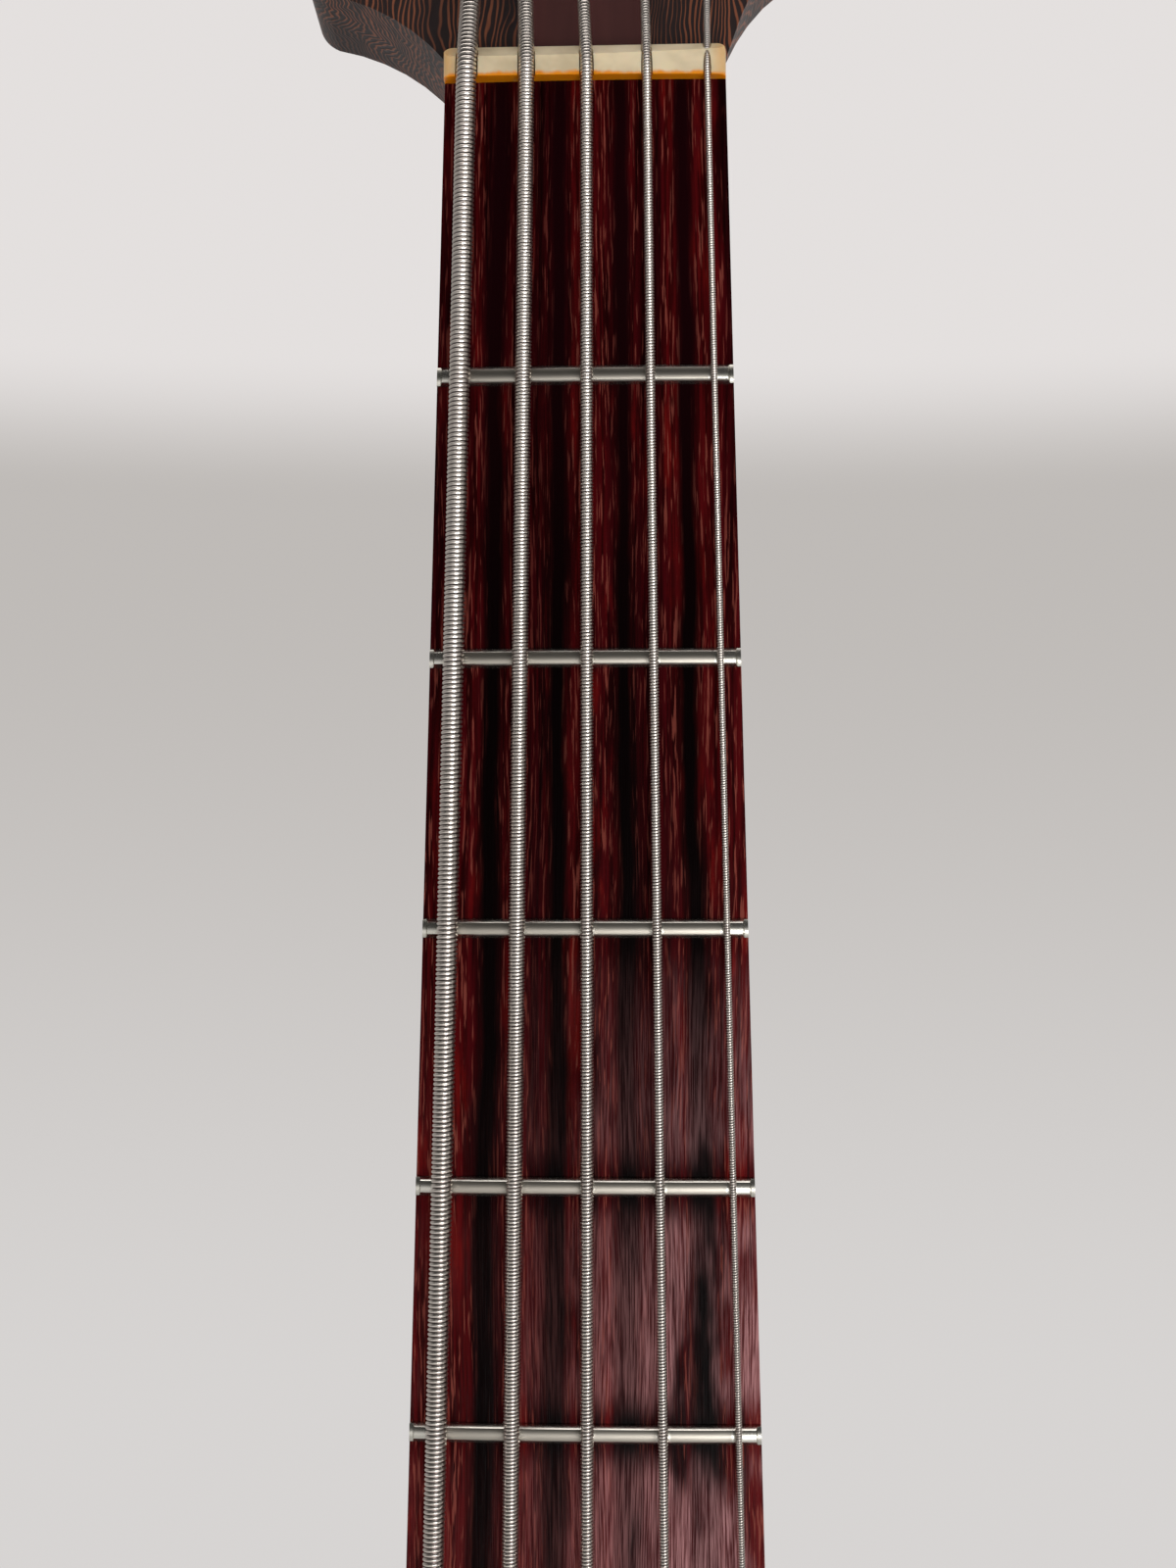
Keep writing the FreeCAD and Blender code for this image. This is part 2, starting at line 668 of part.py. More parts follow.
def on_head(shape):
    """Shape drawn in the headstock's own frame, moved to its place."""
    shape.Placement = HEAD.multiply(shape.Placement)
    return shape


def head_edge(v, side):
    """Where the headstock's straight edge is at a place along it."""
    low, high = HEAD_WIDEST_BASS, HEAD_UPPER_BASS
    if side > 0:
        low, high = HEAD_WIDEST_TREBLE, HEAD_UPPER_TREBLE
    return low[0] + (high[0] - low[0]) * (v - low[1]) / (high[1] - low[1])


def ear_place(u, v, side):
    return u - side * EAR_INSET, v + EAR_AHEAD


def tuner_screw_seat():
    return -HEAD_DEPTH - EAR_DEPTH


def worm_height():
    return -HEAD_DEPTH - HOUSING_DEPTH / 2


def make_tuner_housing(u, v, side):
    """Closed gear housing under the headstock: boss round the post, arm round the key's shaft."""
    low = -HEAD_DEPTH - HOUSING_DEPTH
    boss = rod(V(u, v, low), V(u, v, -HEAD_DEPTH), HOUSING_RADIUS)
    boss = boss.makeFillet(HOUSING_ROUND, flat_edges(boss, low))
    worm = v + WORM_OFFSET
    edge = head_edge(worm, side)
    x = (min(u, edge), max(u, edge))
    arm = box(x, (worm - ARM_WIDTH / 2, worm + ARM_WIDTH / 2), (low, -HEAD_DEPTH))
    arm = arm.makeFillet(HOUSING_ROUND, flat_edges(arm, low))
    ear_u, ear_v = ear_place(u, v, side)
    seat = tuner_screw_seat()
    ear = rod(V(ear_u, ear_v, seat), V(ear_u, ear_v, -HEAD_DEPTH), EAR_RADIUS)
    post_end = -HEAD_DEPTH - POST_SEAT_DEPTH - RUNNING_CLEARANCE
    shaft_end = edge - side * (KEY_SHAFT_SEAT + RUNNING_CLEARANCE)
    tools = [
        rod(V(u, v, post_end), V(u, v, PAST), POST_RADIUS + RUNNING_CLEARANCE),
        rod(V(ear_u, ear_v, seat - PAST), V(ear_u, ear_v, PAST), TUNER_SCREW_RADIUS + SCREW_CLEARANCE),
        rod(
            V(shaft_end, worm, worm_height()),
            V(edge + side * PAST, worm, worm_height()),
            KEY_SHAFT_RADIUS + RUNNING_CLEARANCE,
        ),
    ]
    clear_head = rod(V(ear_u, ear_v, low - PAST), V(ear_u, ear_v, seat), EAR_RADIUS)
    housing = boss.fuse(arm).cut(clear_head).fuse(ear).cut(Part.makeCompound(tools))
    return on_head(housing)


def make_tuner_bushing(u, v):
    """Flanged sleeve that guides the post through the headstock."""
    sleeve = rod(V(u, v, -BUSHING_DEPTH), V(u, v, BUSHING_FLANGE_HEIGHT), BUSHING_RADIUS)
    flange = rod(V(u, v, 0), V(u, v, BUSHING_FLANGE_HEIGHT), BUSHING_FLANGE_RADIUS)
    bush = flange.makeFillet(POST_CHAMFER, flat_edges(flange, BUSHING_FLANGE_HEIGHT)).fuse(sleeve)
    bore = rod(V(u, v, -BUSHING_DEPTH - PAST), V(u, v, PAST), POST_RADIUS + RUNNING_CLEARANCE)
    return on_head(bush.cut(bore))


def make_tuner_screw(u, v, side):
    ear_u, ear_v = ear_place(u, v, side)
    seat = HEAD.multVec(V(ear_u, ear_v, tuner_screw_seat()))
    return screw(
        seat, HEAD_NORMAL, TUNER_SCREW_RADIUS, TUNER_SCREW_LENGTH,
        TUNER_SCREW_HEAD, TUNER_SCREW_HEAD_HEIGHT,
    )


def make_tuner_post(index):
    """Post with a slot across its top for the end of its string."""
    letter, diameter, turns = STRINGS[index]
    u, v, side = TUNER_POSTS[letter]
    low = -HEAD_DEPTH - POST_SEAT_DEPTH
    post = rod(V(u, v, low), V(u, v, POST_RISE), POST_RADIUS)
    post = post.makeChamfer(POST_CHAMFER, flat_edges(post, POST_RISE))
    wind = winding(index)
    half = diameter / 2 + POST_SLOT_MARGIN
    floor = wind["top"] - diameter / 2 - WIND_LIFT
    reach = POST_RADIUS + PAST
    slot = box((-reach, reach), (-half, half), (floor, POST_RISE + PAST))
    slot.rotate(V(0, 0, 0), UP, math.degrees(wind["slot_angle"]))
    slot.translate(V(u, v, 0))
    return on_head(post.cut(slot))


def make_tuner_key(u, v, side):
    """Key with its shaft: collar, short neck and oval grip."""
    worm = v + WORM_OFFSET
    height = worm_height()
    edge = head_edge(worm, side)

    def at(distance):
        return V(edge + side * distance, worm, height)

    collar_end = KEY_GAP + KEY_COLLAR_LENGTH
    grip_start = collar_end + KEY_NECK_LENGTH
    middle = grip_start + KEY_LENGTH / 2
    shaft = rod(at(-KEY_SHAFT_SEAT), at(middle), KEY_SHAFT_RADIUS)
    collar = rod(at(KEY_GAP), at(collar_end), KEY_COLLAR_RADIUS)
    oval = Part.Face(Part.Wire(Part.Ellipse(V(0, 0, 0), KEY_WIDTH / 2, KEY_LENGTH / 2).toShape()))
    grip = oval.extrude(UP * KEY_THICKNESS)
    grip = grip.makeFillet(KEY_ROUND, flat_edges(grip, 0) + flat_edges(grip, KEY_THICKNESS))
    grip.rotate(V(0, 0, 0), UP, 90)
    grip.translate(at(middle).sub(UP * (KEY_THICKNESS / 2)))
    return on_head(shaft.fuse([collar, grip]))


def bow(start, way, end):
    """Middle of the arc that leaves start along way and ends at end."""
    chord = end.sub(start)
    side = way.sub(chord * (way.dot(chord) / chord.dot(chord))).normalize()
    rise = chord.Length / 2 * math.tan(way.getAngle(chord) / 2)
    return start.add(chord * 0.5).add(side * rise)


def bend(before, corner, after, radius):
    """Start, middle and end of the arc that rounds a corner of a path."""
    back = before.sub(corner).normalize()
    ahead = after.sub(corner).normalize()
    reach = radius * math.tan((math.pi - back.getAngle(ahead)) / 2)
    start = corner.add(back * reach)
    end = corner.add(ahead * reach)
    return start, bow(start, back.negative(), end), end


def biarc(start, start_way, end, end_way):
    """Two arcs that leave start and reach end along the ways given there."""
    run = end.sub(start)
    along = run.dot(start_way.add(end_way))
    spread = 2 * (1 - start_way.dot(end_way))
    reach = (math.sqrt(along ** 2 + spread * run.dot(run)) - along) / spread
    joint = start.add(end).add(start_way.sub(end_way) * reach) * 0.5
    first = arc(start, bow(start, start_way, joint), joint)
    second = arc(joint, bow(end, end_way.negative(), joint), end)
    return [first, second]


def string_points(index):
    """Ends of a string's free lengths: its ball, its saddle and its break at the nut."""
    letter, diameter, turns = STRINGS[index]
    nut_x = NUT_FIRST_STRING + index * NUT_STRING_PITCH
    bridge_x = BRIDGE_CENTRE + (index - (len(STRINGS) - 1) / 2) * BRIDGE_STRING_PITCH
    base = BOARD_THICKNESS + FRET_HEIGHT + diameter / 2
    nut = V(nut_x, NUT_BREAK, base - crown_drop(nut_x) + NUT_ACTION)
    bridge_action = 2 * OCTAVE_ACTION - NUT_ACTION
    saddle = V(bridge_x, BRIDGE_Y, base - crown_drop(bridge_x) + bridge_action)
    ball = V(bridge_x, ball_seat() + WIND_CLEARANCE, BODY_TOP + BALL_RISE)
    return ball, saddle, nut


def winding(index):
    """Where a string meets its post, and the arcs of its turns down from the post's slot."""
    letter, diameter, turns = STRINGS[index]
    u, v, side = TUNER_POSTS[letter]
    radius = POST_RADIUS + WIND_CLEARANCE + diameter / 2
    nut = string_points(index)[2]
    local = HEAD.inverse().multVec(nut)
    spin = -side
    base = math.atan2(local.y - v, local.x - u)
    swing = math.acos(radius / math.hypot(local.x - u, local.y - v))
    pitch = diameter + TURN_GAP
    start = BUSHING_FLANGE_HEIGHT + WIND_LIFT + diameter / 2

    def place(quarter):
        angle = base + spin * (swing + quarter * math.pi / 2)
        point = V(u + radius * math.cos(angle), v + radius * math.sin(angle), start + quarter * pitch / 4)
        way = V(-spin * radius * math.sin(angle), spin * radius * math.cos(angle), pitch / (2 * math.pi))
        inward = V(-math.cos(angle), -math.sin(angle), 0)
        return point, way.normalize(), inward

    touch = HEAD.multVec(place(0)[0])
    way = touch.sub(nut).normalize()
    point = touch
    edges = []
    for quarter in range(1, 4 * turns + 1):
        local_point, local_way, inward = place(quarter)
        next_point = HEAD.multVec(local_point)
        next_way = HEAD.Rotation.multVec(local_way)
        edges.extend(biarc(point, way, next_point, next_way))
        point = next_point
        way = next_way
    inward = HEAD.Rotation.multVec(inward)
    tight = diameter / 2 + END_BEND_EXTRA
    sweep = math.acos(-tight / (radius - tight))

    def curl(angle):
        return point.add(way * (tight * math.sin(angle))).add(inward * (tight * (1 - math.cos(angle))))

    leave = curl(sweep)
    edges.append(arc(point, curl(sweep / 2), leave))
    heading = way * math.cos(sweep) + inward * math.sin(sweep)
    reach = math.sqrt((radius - tight) ** 2 - tight ** 2)
    edges.append(line(leave, leave.add(heading * reach)))
    flat = HEAD.Rotation.inverted().multVec(heading)
    return {
        "touch": touch,
        "edges": edges,
        "top": local_point.z,
        "slot_angle": math.atan2(flat.y, flat.x),
    }


def string_solid(index, grow, wound):
    """Round string from its ball over saddle and nut to its post, and round it if wound."""
    letter, diameter, turns = STRINGS[index]
    ball, saddle, nut = string_points(index)
    wind = winding(index)
    touch = wind["touch"]
    over_saddle = bend(ball, saddle, nut, SADDLE_BEND)
    over_nut = bend(saddle, nut, touch, NUT_BEND)
    edges = [
        line(ball, over_saddle[0]),
        arc(*over_saddle),
        line(over_saddle[2], over_nut[0]),
        arc(*over_nut),
        line(over_nut[2], touch),
    ]
    if wound:
        edges.extend(wind["edges"])
    return tube(edges, diameter / 2 + grow)


def tube(edges, radius):
    """Round tube along a path of lines and tangent arcs."""
    path = Part.Wire(edges)
    start = edges[0].valueAt(edges[0].FirstParameter)
    way = edges[0].tangentAt(edges[0].FirstParameter)
    ring = Part.Wire(Part.makeCircle(radius, start, way))
    return path.makePipeShell([ring], True, False)


def self_gap(index):
    """Least gap between a string's turns, measured on points along its winding."""
    letter, diameter, turns = STRINGS[index]
    samples = 10
    points = []
    for edge in winding(index)["edges"]:
        points.extend(edge.discretize(Number=samples)[:-1])
    travel = [0.0]
    for before, after in zip(points, points[1:]):
        travel.append(travel[-1] + before.distanceToPoint(after))
    apart = math.pi * diameter
    gaps = []
    for first, point in enumerate(points):
        for second in range(first + 1, len(points)):
            if travel[second] - travel[first] > apart:
                gaps.append(point.distanceToPoint(points[second]) - diameter)
    return min(gaps)


def body_wire():
    """Smooth double-cutaway outline in the plane of the body's back."""
    curve = Part.BSplineCurve()
    curve.interpolate(Points=[V(x, y, BODY_BACK) for x, y in BODY_OUTLINE], PeriodicFlag=True)
    return Part.Wire(curve.toShape())


def strap_places():
    """Highest point of the upper horn and lowest point of the tail, with the way out of each."""
    samples = 600
    points = body_wire().Edges[0].discretize(Number=samples)
    middle = (BODY_TOP + BODY_BACK) / 2
    horn = max(points, key=lambda point: point.y)
    tail = min(points, key=lambda point: point.y)
    return (
        (V(horn.x, horn.y - STRAP_SPOT_DEPTH, middle), V(0, 1, 0)),
        (V(tail.x, tail.y + STRAP_SPOT_DEPTH, middle), V(0, -1, 0)),
    )


def half_space(first, second, third):
    """Large block on the upper side of the plane through three points."""
    normal = second.sub(first).cross(third.sub(first)).normalize()
    if normal.z < 0:
        normal = normal.negative()
    reach = (-HALF_SPACE, HALF_SPACE)
    block = box(reach, reach, (0, HALF_SPACE))
    block.Placement = FreeCAD.Placement(first, FreeCAD.Rotation(UP, normal))
    return block


def body_blank():
    """Rounded slab with a forearm bevel in front and a belly hollow behind."""
    slab = Part.Face(body_wire()).extrude(UP * BODY_DEPTH)
    slab = slab.makeFillet(BODY_EDGE_ROUND, flat_edges(slab, BODY_TOP) + flat_edges(slab, BODY_BACK))
    forearm = half_space(
        V(*FOREARM_START, BODY_TOP),
        V(*FOREARM_END, BODY_TOP),
        V(*FOREARM_CORNER, BODY_TOP - FOREARM_DROP),
    )
    belly = Part.makeSphere(BELLY_RADIUS, V(*BELLY_CENTRE, BODY_BACK + BELLY_DEPTH - BELLY_RADIUS))
    return slab.cut(Part.makeCompound([forearm])).cut(belly)


def neck_pocket():
    """Pocket that the heel sits in, with room behind it for the truss rod's wheel."""
    end = BOARD_END - POCKET_CLEARANCE
    mouth = HEEL_FRONT + HEEL_BLEND
    far = half_width(end) + POCKET_CLEARANCE
    near = half_width(mouth) + POCKET_CLEARANCE
    floor = -HEEL_DEPTH
    plan = outline([V(-near, mouth, floor), V(near, mouth, floor), V(far, end, floor), V(-far, end, floor)])
    pocket = Part.Face(plan).extrude(UP * (HEEL_DEPTH + PAST))
    room = WHEEL_RADIUS + WHEEL_GAP
    low = truss_low_bar() - room
    return pocket.fuse(box((-room, room), (wheel_end() - WHEEL_GAP, BOARD_END), (low, PAST)))


def neck_screw_places():
    x, y = NECK_SCREW_SPACING
    return [(i * x / 2, NECK_PLATE_CENTRE + j * y / 2) for i in (-1, 1) for j in (-1, 1)]


def neck_screw_seat():
    return BODY_BACK - NECK_PLATE[2]


def pickup_floor():
    return BODY_TOP - PICKUP_ROUTE_DEPTH


def pickup_screw_places():
    places = []
    for y in PICKUP_CENTRES.values():
        for side in (-1, 1):
            places.append((BRIDGE_CENTRE + side * PICKUP_SCREW_SPREAD / 2, y))
    return places


def cover_screw_places():
    x = (CONTROL_SIZE[0] + COVER_LIP) / 2
    y = CONTROL_SIZE[1] / 4
    return [(CONTROL_CENTRE[0] + i * x, CONTROL_CENTRE[1] + j * y) for i in (-1, 1) for j in (-1, 1)]


def bridge_screw_places():
    step = BRIDGE_SCREW_SPREAD / (BRIDGE_SCREWS - 1)
    first = BRIDGE_CENTRE - BRIDGE_SCREW_SPREAD / 2
    y = BRIDGE_Y + BRIDGE_FRONT - BRIDGE_SCREW_SETBACK
    return [(first + step * index, y) for index in range(BRIDGE_SCREWS)]


def control_ceiling():
    return BODY_TOP - CONTROL_TOP_WALL


def lead_height():
    return pickup_floor() + LEAD_RISE


def lead_corners():
    """Corners of the two pickup leads, each from its coil to the volume control."""
    coil = PICKUP_TOP - PICKUP_SIZE[2]
    low = lead_height()
    step = (COIL_SIZE[1] + COIL_GAP) / 2
    pot_x, pot_y = KNOB_PLACES["volume"]
    pot_low = control_ceiling() - POT_HEIGHT
    neck_y = PICKUP_CENTRES["neck"] - step
    turn_y = PICKUP_CENTRES["bridge"] + step
    bridge_y = PICKUP_CENTRES["bridge"] - step
    left = pot_x - POT_SHAFT_RADIUS
    right = pot_x + POT_SHAFT_RADIUS
    end_y = pot_y + 2 * POT_SHAFT_RADIUS
    neck = [
        V(LEAD_X, neck_y, coil), V(LEAD_X, neck_y, low), V(LEAD_X, turn_y, low),
        V(left, end_y, low), V(left, end_y, pot_low),
    ]
    bridge = [
        V(LEAD_X, bridge_y, coil), V(LEAD_X, bridge_y, low),
        V(right, bridge_y, low), V(right, bridge_y, pot_low),
    ]
    return [neck, bridge]


def make_body():
    """Body with every pocket, route and hole that the other pieces sit in."""
    tools = [neck_pocket()]
    for x, y in neck_screw_places():
        tools.append(rod(V(x, y, BODY_BACK - PAST), V(x, y, PAST), NECK_SCREW_RADIUS + SCREW_CLEARANCE))
    grow = 2 * PICKUP_CLEARANCE
    size = (PICKUP_SIZE[0] + grow, PICKUP_SIZE[1] + grow)
    corner = PICKUP_CORNER + PICKUP_CLEARANCE
    for y in PICKUP_CENTRES.values():
        tools.append(rounded_block((BRIDGE_CENTRE, y), size, corner, (pickup_floor(), PAST)))
    for x, y in pickup_screw_places():
        tip = pickup_floor() - PICKUP_SCREW_BITE - SCREW_CLEARANCE
        tools.append(rod(V(x, y, tip), V(x, y, PAST), PICKUP_SCREW_RADIUS + SCREW_CLEARANCE))
    for x, y in bridge_screw_places():
        tip = PLATE_TOP - BRIDGE_SCREW_LENGTH - SCREW_CLEARANCE
        tools.append(rod(V(x, y, tip), V(x, y, PAST), BRIDGE_SCREW_RADIUS + SCREW_CLEARANCE))
    below = BODY_BACK - PAST
    tools.append(rounded_block(CONTROL_CENTRE, CONTROL_SIZE, CONTROL_CORNER, (below, control_ceiling())))
    lip = (CONTROL_SIZE[0] + 2 * COVER_LIP, CONTROL_SIZE[1] + 2 * COVER_LIP)
    recess = (below, BODY_BACK + COVER_THICKNESS)
    tools.append(rounded_block(CONTROL_CENTRE, lip, CONTROL_CORNER + COVER_LIP, recess))
    for x, y in cover_screw_places():
        tip = BODY_BACK + COVER_SCREW_LENGTH + SCREW_CLEARANCE
        tools.append(rod(V(x, y, below), V(x, y, tip), COVER_SCREW_RADIUS + SCREW_CLEARANCE))
    for x, y in KNOB_PLACES.values():
        tools.append(rod(V(x, y, BODY_BACK), V(x, y, PAST), POT_SLEEVE_RADIUS + HOLE_CLEARANCE))
    inner = V(CONTROL_CENTRE[0], JACK_Y, JACK_Z)
    seat = V(JACK_SEAT, JACK_Y, JACK_Z)
    beyond = V(JACK_SEAT + HALF_SPACE, JACK_Y, JACK_Z)
    tools.append(rod(inner, seat, JACK_BARREL_RADIUS + HOLE_CLEARANCE))
    tools.append(rod(seat, beyond, JACK_SPOT_RADIUS))
    for corners in lead_corners():
        for start, end in zip(corners[1:-2], corners[2:-1]):
            tools.append(rod(start, end, LEAD_CHANNEL_RADIUS))
    for seat, way in strap_places():
        tools.append(Part.makeCylinder(STRAP_SPOT_RADIUS, PAST, seat, way))
        depth = STRAP_SCREW_LENGTH - STRAP_HEIGHT + SCREW_CLEARANCE
        hole = STRAP_SCREW_RADIUS + SCREW_CLEARANCE
        tools.append(Part.makeCylinder(hole, depth, seat, way.negative()))
    body = body_blank()
    for tool in tools:
        body = body.cut(tool)
    return body


def make_neck_plate():
    low = neck_screw_seat()
    plate = rounded_block((0, NECK_PLATE_CENTRE), NECK_PLATE, NECK_PLATE_CORNER, (low, BODY_BACK))
    for x, y in neck_screw_places():
        plate = plate.cut(rod(V(x, y, low - PAST), V(x, y, PAST), NECK_SCREW_RADIUS + SCREW_CLEARANCE))
    return plate


def make_neck_screws():
    screws = []
    for x, y in neck_screw_places():
        seat = V(x, y, neck_screw_seat())
        screws.append(screw(
            seat, UP, NECK_SCREW_RADIUS, NECK_SCREW_LENGTH, NECK_SCREW_HEAD, NECK_SCREW_HEAD_HEIGHT,
        ))
    return screws


def make_pickup_cover(y):
    """Moulded cover, open underneath, with a screw hole in each solid end."""
    low = PICKUP_TOP - PICKUP_SIZE[2]
    centre = (BRIDGE_CENTRE, y)
    cover = rounded_block(centre, PICKUP_SIZE, PICKUP_CORNER, (low, PICKUP_TOP))
    cover = cover.makeFillet(PICKUP_EDGE_ROUND, flat_edges(cover, PICKUP_TOP))
    ceiling = PICKUP_TOP - PICKUP_WALL
    corner = PICKUP_CORNER - PICKUP_WALL
    cover = cover.cut(rounded_block(centre, PICKUP_HOLLOW, corner, (low - PAST, ceiling)))
    for x, hole_y in pickup_screw_places():
        if hole_y == y:
            hole = rod(V(x, y, low - PAST), V(x, y, PICKUP_TOP + PAST), PICKUP_SCREW_RADIUS + SCREW_CLEARANCE)
            cover = cover.cut(hole)
    return cover


def make_pickup_coils():
    """Two wound coils under each cover."""
    low = PICKUP_TOP - PICKUP_SIZE[2]
    ceiling = PICKUP_TOP - PICKUP_WALL - COIL_CLEARANCE
    corner = COIL_SIZE[1] / 2 - COIL_CLEARANCE
    coils = []
    for y in PICKUP_CENTRES.values():
        for side in (-1, 1):
            centre = (BRIDGE_CENTRE, y + side * (COIL_SIZE[1] + COIL_GAP) / 2)
            coils.append(rounded_block(centre, COIL_SIZE, corner, (low, ceiling)))
    return coils


def make_pickup_foam():
    z = (pickup_floor(), PICKUP_TOP - PICKUP_SIZE[2])
    corner = PICKUP_CORNER
    return [rounded_block((BRIDGE_CENTRE, y), FOAM_SIZE, corner, z) for y in PICKUP_CENTRES.values()]


def make_pickup_screws():
    length = PICKUP_TOP - pickup_floor() + PICKUP_SCREW_BITE
    screws = []
    for x, y in pickup_screw_places():
        screws.append(screw(
            V(x, y, PICKUP_TOP), DOWN, PICKUP_SCREW_RADIUS, length,
            PICKUP_SCREW_HEAD, PICKUP_SCREW_HEAD_HEIGHT,
        ))
    return screws


def bridge_rear():
    return BRIDGE_Y + BRIDGE_FRONT - BRIDGE_PLATE[1]


def ball_seat():
    return bridge_rear() + BALL_SEAT_DEPTH


def intonation_height():
    return BODY_TOP + INTONATION_RISE


def make_bridge_base():
    """Plate with side rails and a tail block that holds the ball ends and intonation screws."""
    rear = bridge_rear()
    front = BRIDGE_Y + BRIDGE_FRONT
    half = BRIDGE_PLATE[0] / 2
    left = BRIDGE_CENTRE - half
    right = BRIDGE_CENTRE + half
    centre = (BRIDGE_CENTRE, (front + rear) / 2)
    plate = rounded_block(centre, BRIDGE_PLATE, BRIDGE_CORNER, (BODY_TOP, PLATE_TOP))
    rail_y = (rear + BRIDGE_CORNER, front - BRIDGE_CORNER)
    rail_z = (BODY_TOP, BODY_TOP + BRIDGE_RAIL_HEIGHT)
    tail = rounded_block(
        (BRIDGE_CENTRE, rear + TAIL_LENGTH / 2), (BRIDGE_PLATE[0], TAIL_LENGTH), BRIDGE_CORNER,
        (BODY_TOP, BODY_TOP + TAIL_HEIGHT),
    )
    tail = tail.makeFillet(BRIDGE_RAIL / 2, flat_edges(tail, BODY_TOP + TAIL_HEIGHT))
    base = plate.fuse([
        box((left, left + BRIDGE_RAIL), rail_y, rail_z),
        box((right - BRIDGE_RAIL, right), rail_y, rail_z),
        tail,
    ])
    tools = []
    for index in range(len(STRINGS)):
        ball, saddle, nut = string_points(index)
        tools.append(rod(
            V(ball.x, rear - PAST, intonation_height()),
            V(ball.x, BRIDGE_Y, intonation_height()),
            INTONATION_RADIUS + SCREW_CLEARANCE,
        ))
        tools.append(rod(V(ball.x, rear - PAST, ball.z), V(ball.x, ball_seat(), ball.z), BALL_SEAT_RADIUS))
        tools.append(string_solid(index, STRING_SLOT_CLEARANCE, False))
    for x, y in bridge_screw_places():
        tools.append(rod(V(x, y, BODY_TOP - PAST), V(x, y, PAST), BRIDGE_SCREW_RADIUS + SCREW_CLEARANCE))
    for tool in tools:
        base = base.cut(tool)
    return base


def make_bridge_screws():
    screws = []
    for x, y in bridge_screw_places():
        screws.append(screw(
            V(x, y, PLATE_TOP), DOWN, BRIDGE_SCREW_RADIUS, BRIDGE_SCREW_LENGTH,
            BRIDGE_SCREW_HEAD, BRIDGE_SCREW_HEAD_HEIGHT,
        ))
    return screws


def make_intonation_screws():
    screws = []
    for index in range(len(STRINGS)):
        x = string_points(index)[1].x
        seat = V(x, bridge_rear(), intonation_height())
        length = BRIDGE_Y - INTONATION_PAST_CREST - bridge_rear()
        screws.append(screw(
            seat, ALONG, INTONATION_RADIUS, length, INTONATION_HEAD, INTONATION_HEAD_HEIGHT,
        ))
    return screws


def make_ball_ends():
    balls = []
    for index in range(len(STRINGS)):
        ball = string_points(index)[0]
        middle = V(ball.x, ball_seat() - BALL_RADIUS, ball.z)
        half = V(BALL_WIDTH / 2, 0, 0)
        balls.append(rod(middle.sub(half), middle.add(half), BALL_RADIUS))
    return balls


def make_saddle(index):
    """Arched saddle with a string groove, standing on two height screws."""
    crest = string_points(index)[1]
    half = (BRIDGE_STRING_PITCH - SADDLE_GAP) / 2
    x = crest.x - half
    low = PLATE_TOP + SADDLE_FLOAT
    front = crest.y + SADDLE_FRONT
    rear = crest.y - SADDLE_BACK
    front_top = V(x, front, crest.z - SADDLE_NOSE_DROP)
    rear_top = V(x, rear, crest.z - SADDLE_BACK_DROP)
    profile = Part.Face(Part.Wire([
        line(V(x, rear, low), V(x, front, low)),
        line(V(x, front, low), front_top),
        arc(front_top, V(x, crest.y, crest.z), rear_top),
        line(rear_top, V(x, rear, low)),
    ]))
    saddle = profile.extrude(V(2 * half, 0, 0))
    saddle = saddle.cut(string_solid(index, STRING_SLOT_CLEARANCE, False))
    thread = rod(
        V(crest.x, rear - PAST, intonation_height()),
        V(crest.x, front + PAST, intonation_height()),
        INTONATION_RADIUS + SCREW_CLEARANCE,
    )
    saddle = saddle.cut(thread)
    pieces = []
    for side in (-1, 1):
        screw_x = crest.x + side * HEIGHT_SCREW_SPREAD / 2
        screw_y = front - HEIGHT_SCREW_SETBACK
        foot = V(screw_x, screw_y, PLATE_TOP + SCREW_CLEARANCE)
        top = V(screw_x, screw_y, front_top.z)
        hole = rod(V(screw_x, screw_y, low - PAST), V(screw_x, screw_y, crest.z + PAST), HEIGHT_SCREW_RADIUS)
        saddle = saddle.cut(hole)
        pieces.append(rod(foot, top, HEIGHT_SCREW_RADIUS))
    return [saddle] + pieces


def make_pot(x, y):
    """Potentiometer can with a threaded sleeve up through the body's top."""
    top = control_ceiling()
    can = rod(V(x, y, top - POT_HEIGHT), V(x, y, top), POT_RADIUS)
    can = can.makeFillet(KNOB_ROUND, flat_edges(can, top - POT_HEIGHT))
    sleeve_top = BODY_TOP + POT_SLEEVE_PROUD
    sleeve = rod(V(x, y, top), V(x, y, sleeve_top), POT_SLEEVE_RADIUS)
    seat = top - POT_SHAFT_SEAT - RUNNING_CLEARANCE
    bore = rod(V(x, y, seat), V(x, y, sleeve_top + PAST), POT_SHAFT_RADIUS + RUNNING_CLEARANCE)
    return can.fuse(sleeve).cut(bore)


def make_pot_nut(x, y):
    """Hexagon nut on a potentiometer's sleeve."""
    sides = 6
    points = []
    for index in range(sides):
        angle = 2 * math.pi * index / sides
        points.append(V(x + POT_NUT_RADIUS * math.cos(angle), y + POT_NUT_RADIUS * math.sin(angle), BODY_TOP))
    nut = Part.Face(outline(points)).extrude(UP * POT_NUT_HEIGHT)
    return nut.cut(rod(V(x, y, BODY_TOP - PAST), V(x, y, PAST), POT_SLEEVE_RADIUS))


def make_shaft(x, y):
    low = control_ceiling() - POT_SHAFT_SEAT
    top = BODY_TOP + KNOB_LIFT + KNOB_RECESS_DEPTH + KNOB_SHAFT_DEPTH
    return rod(V(x, y, low), V(x, y, top), POT_SHAFT_RADIUS)


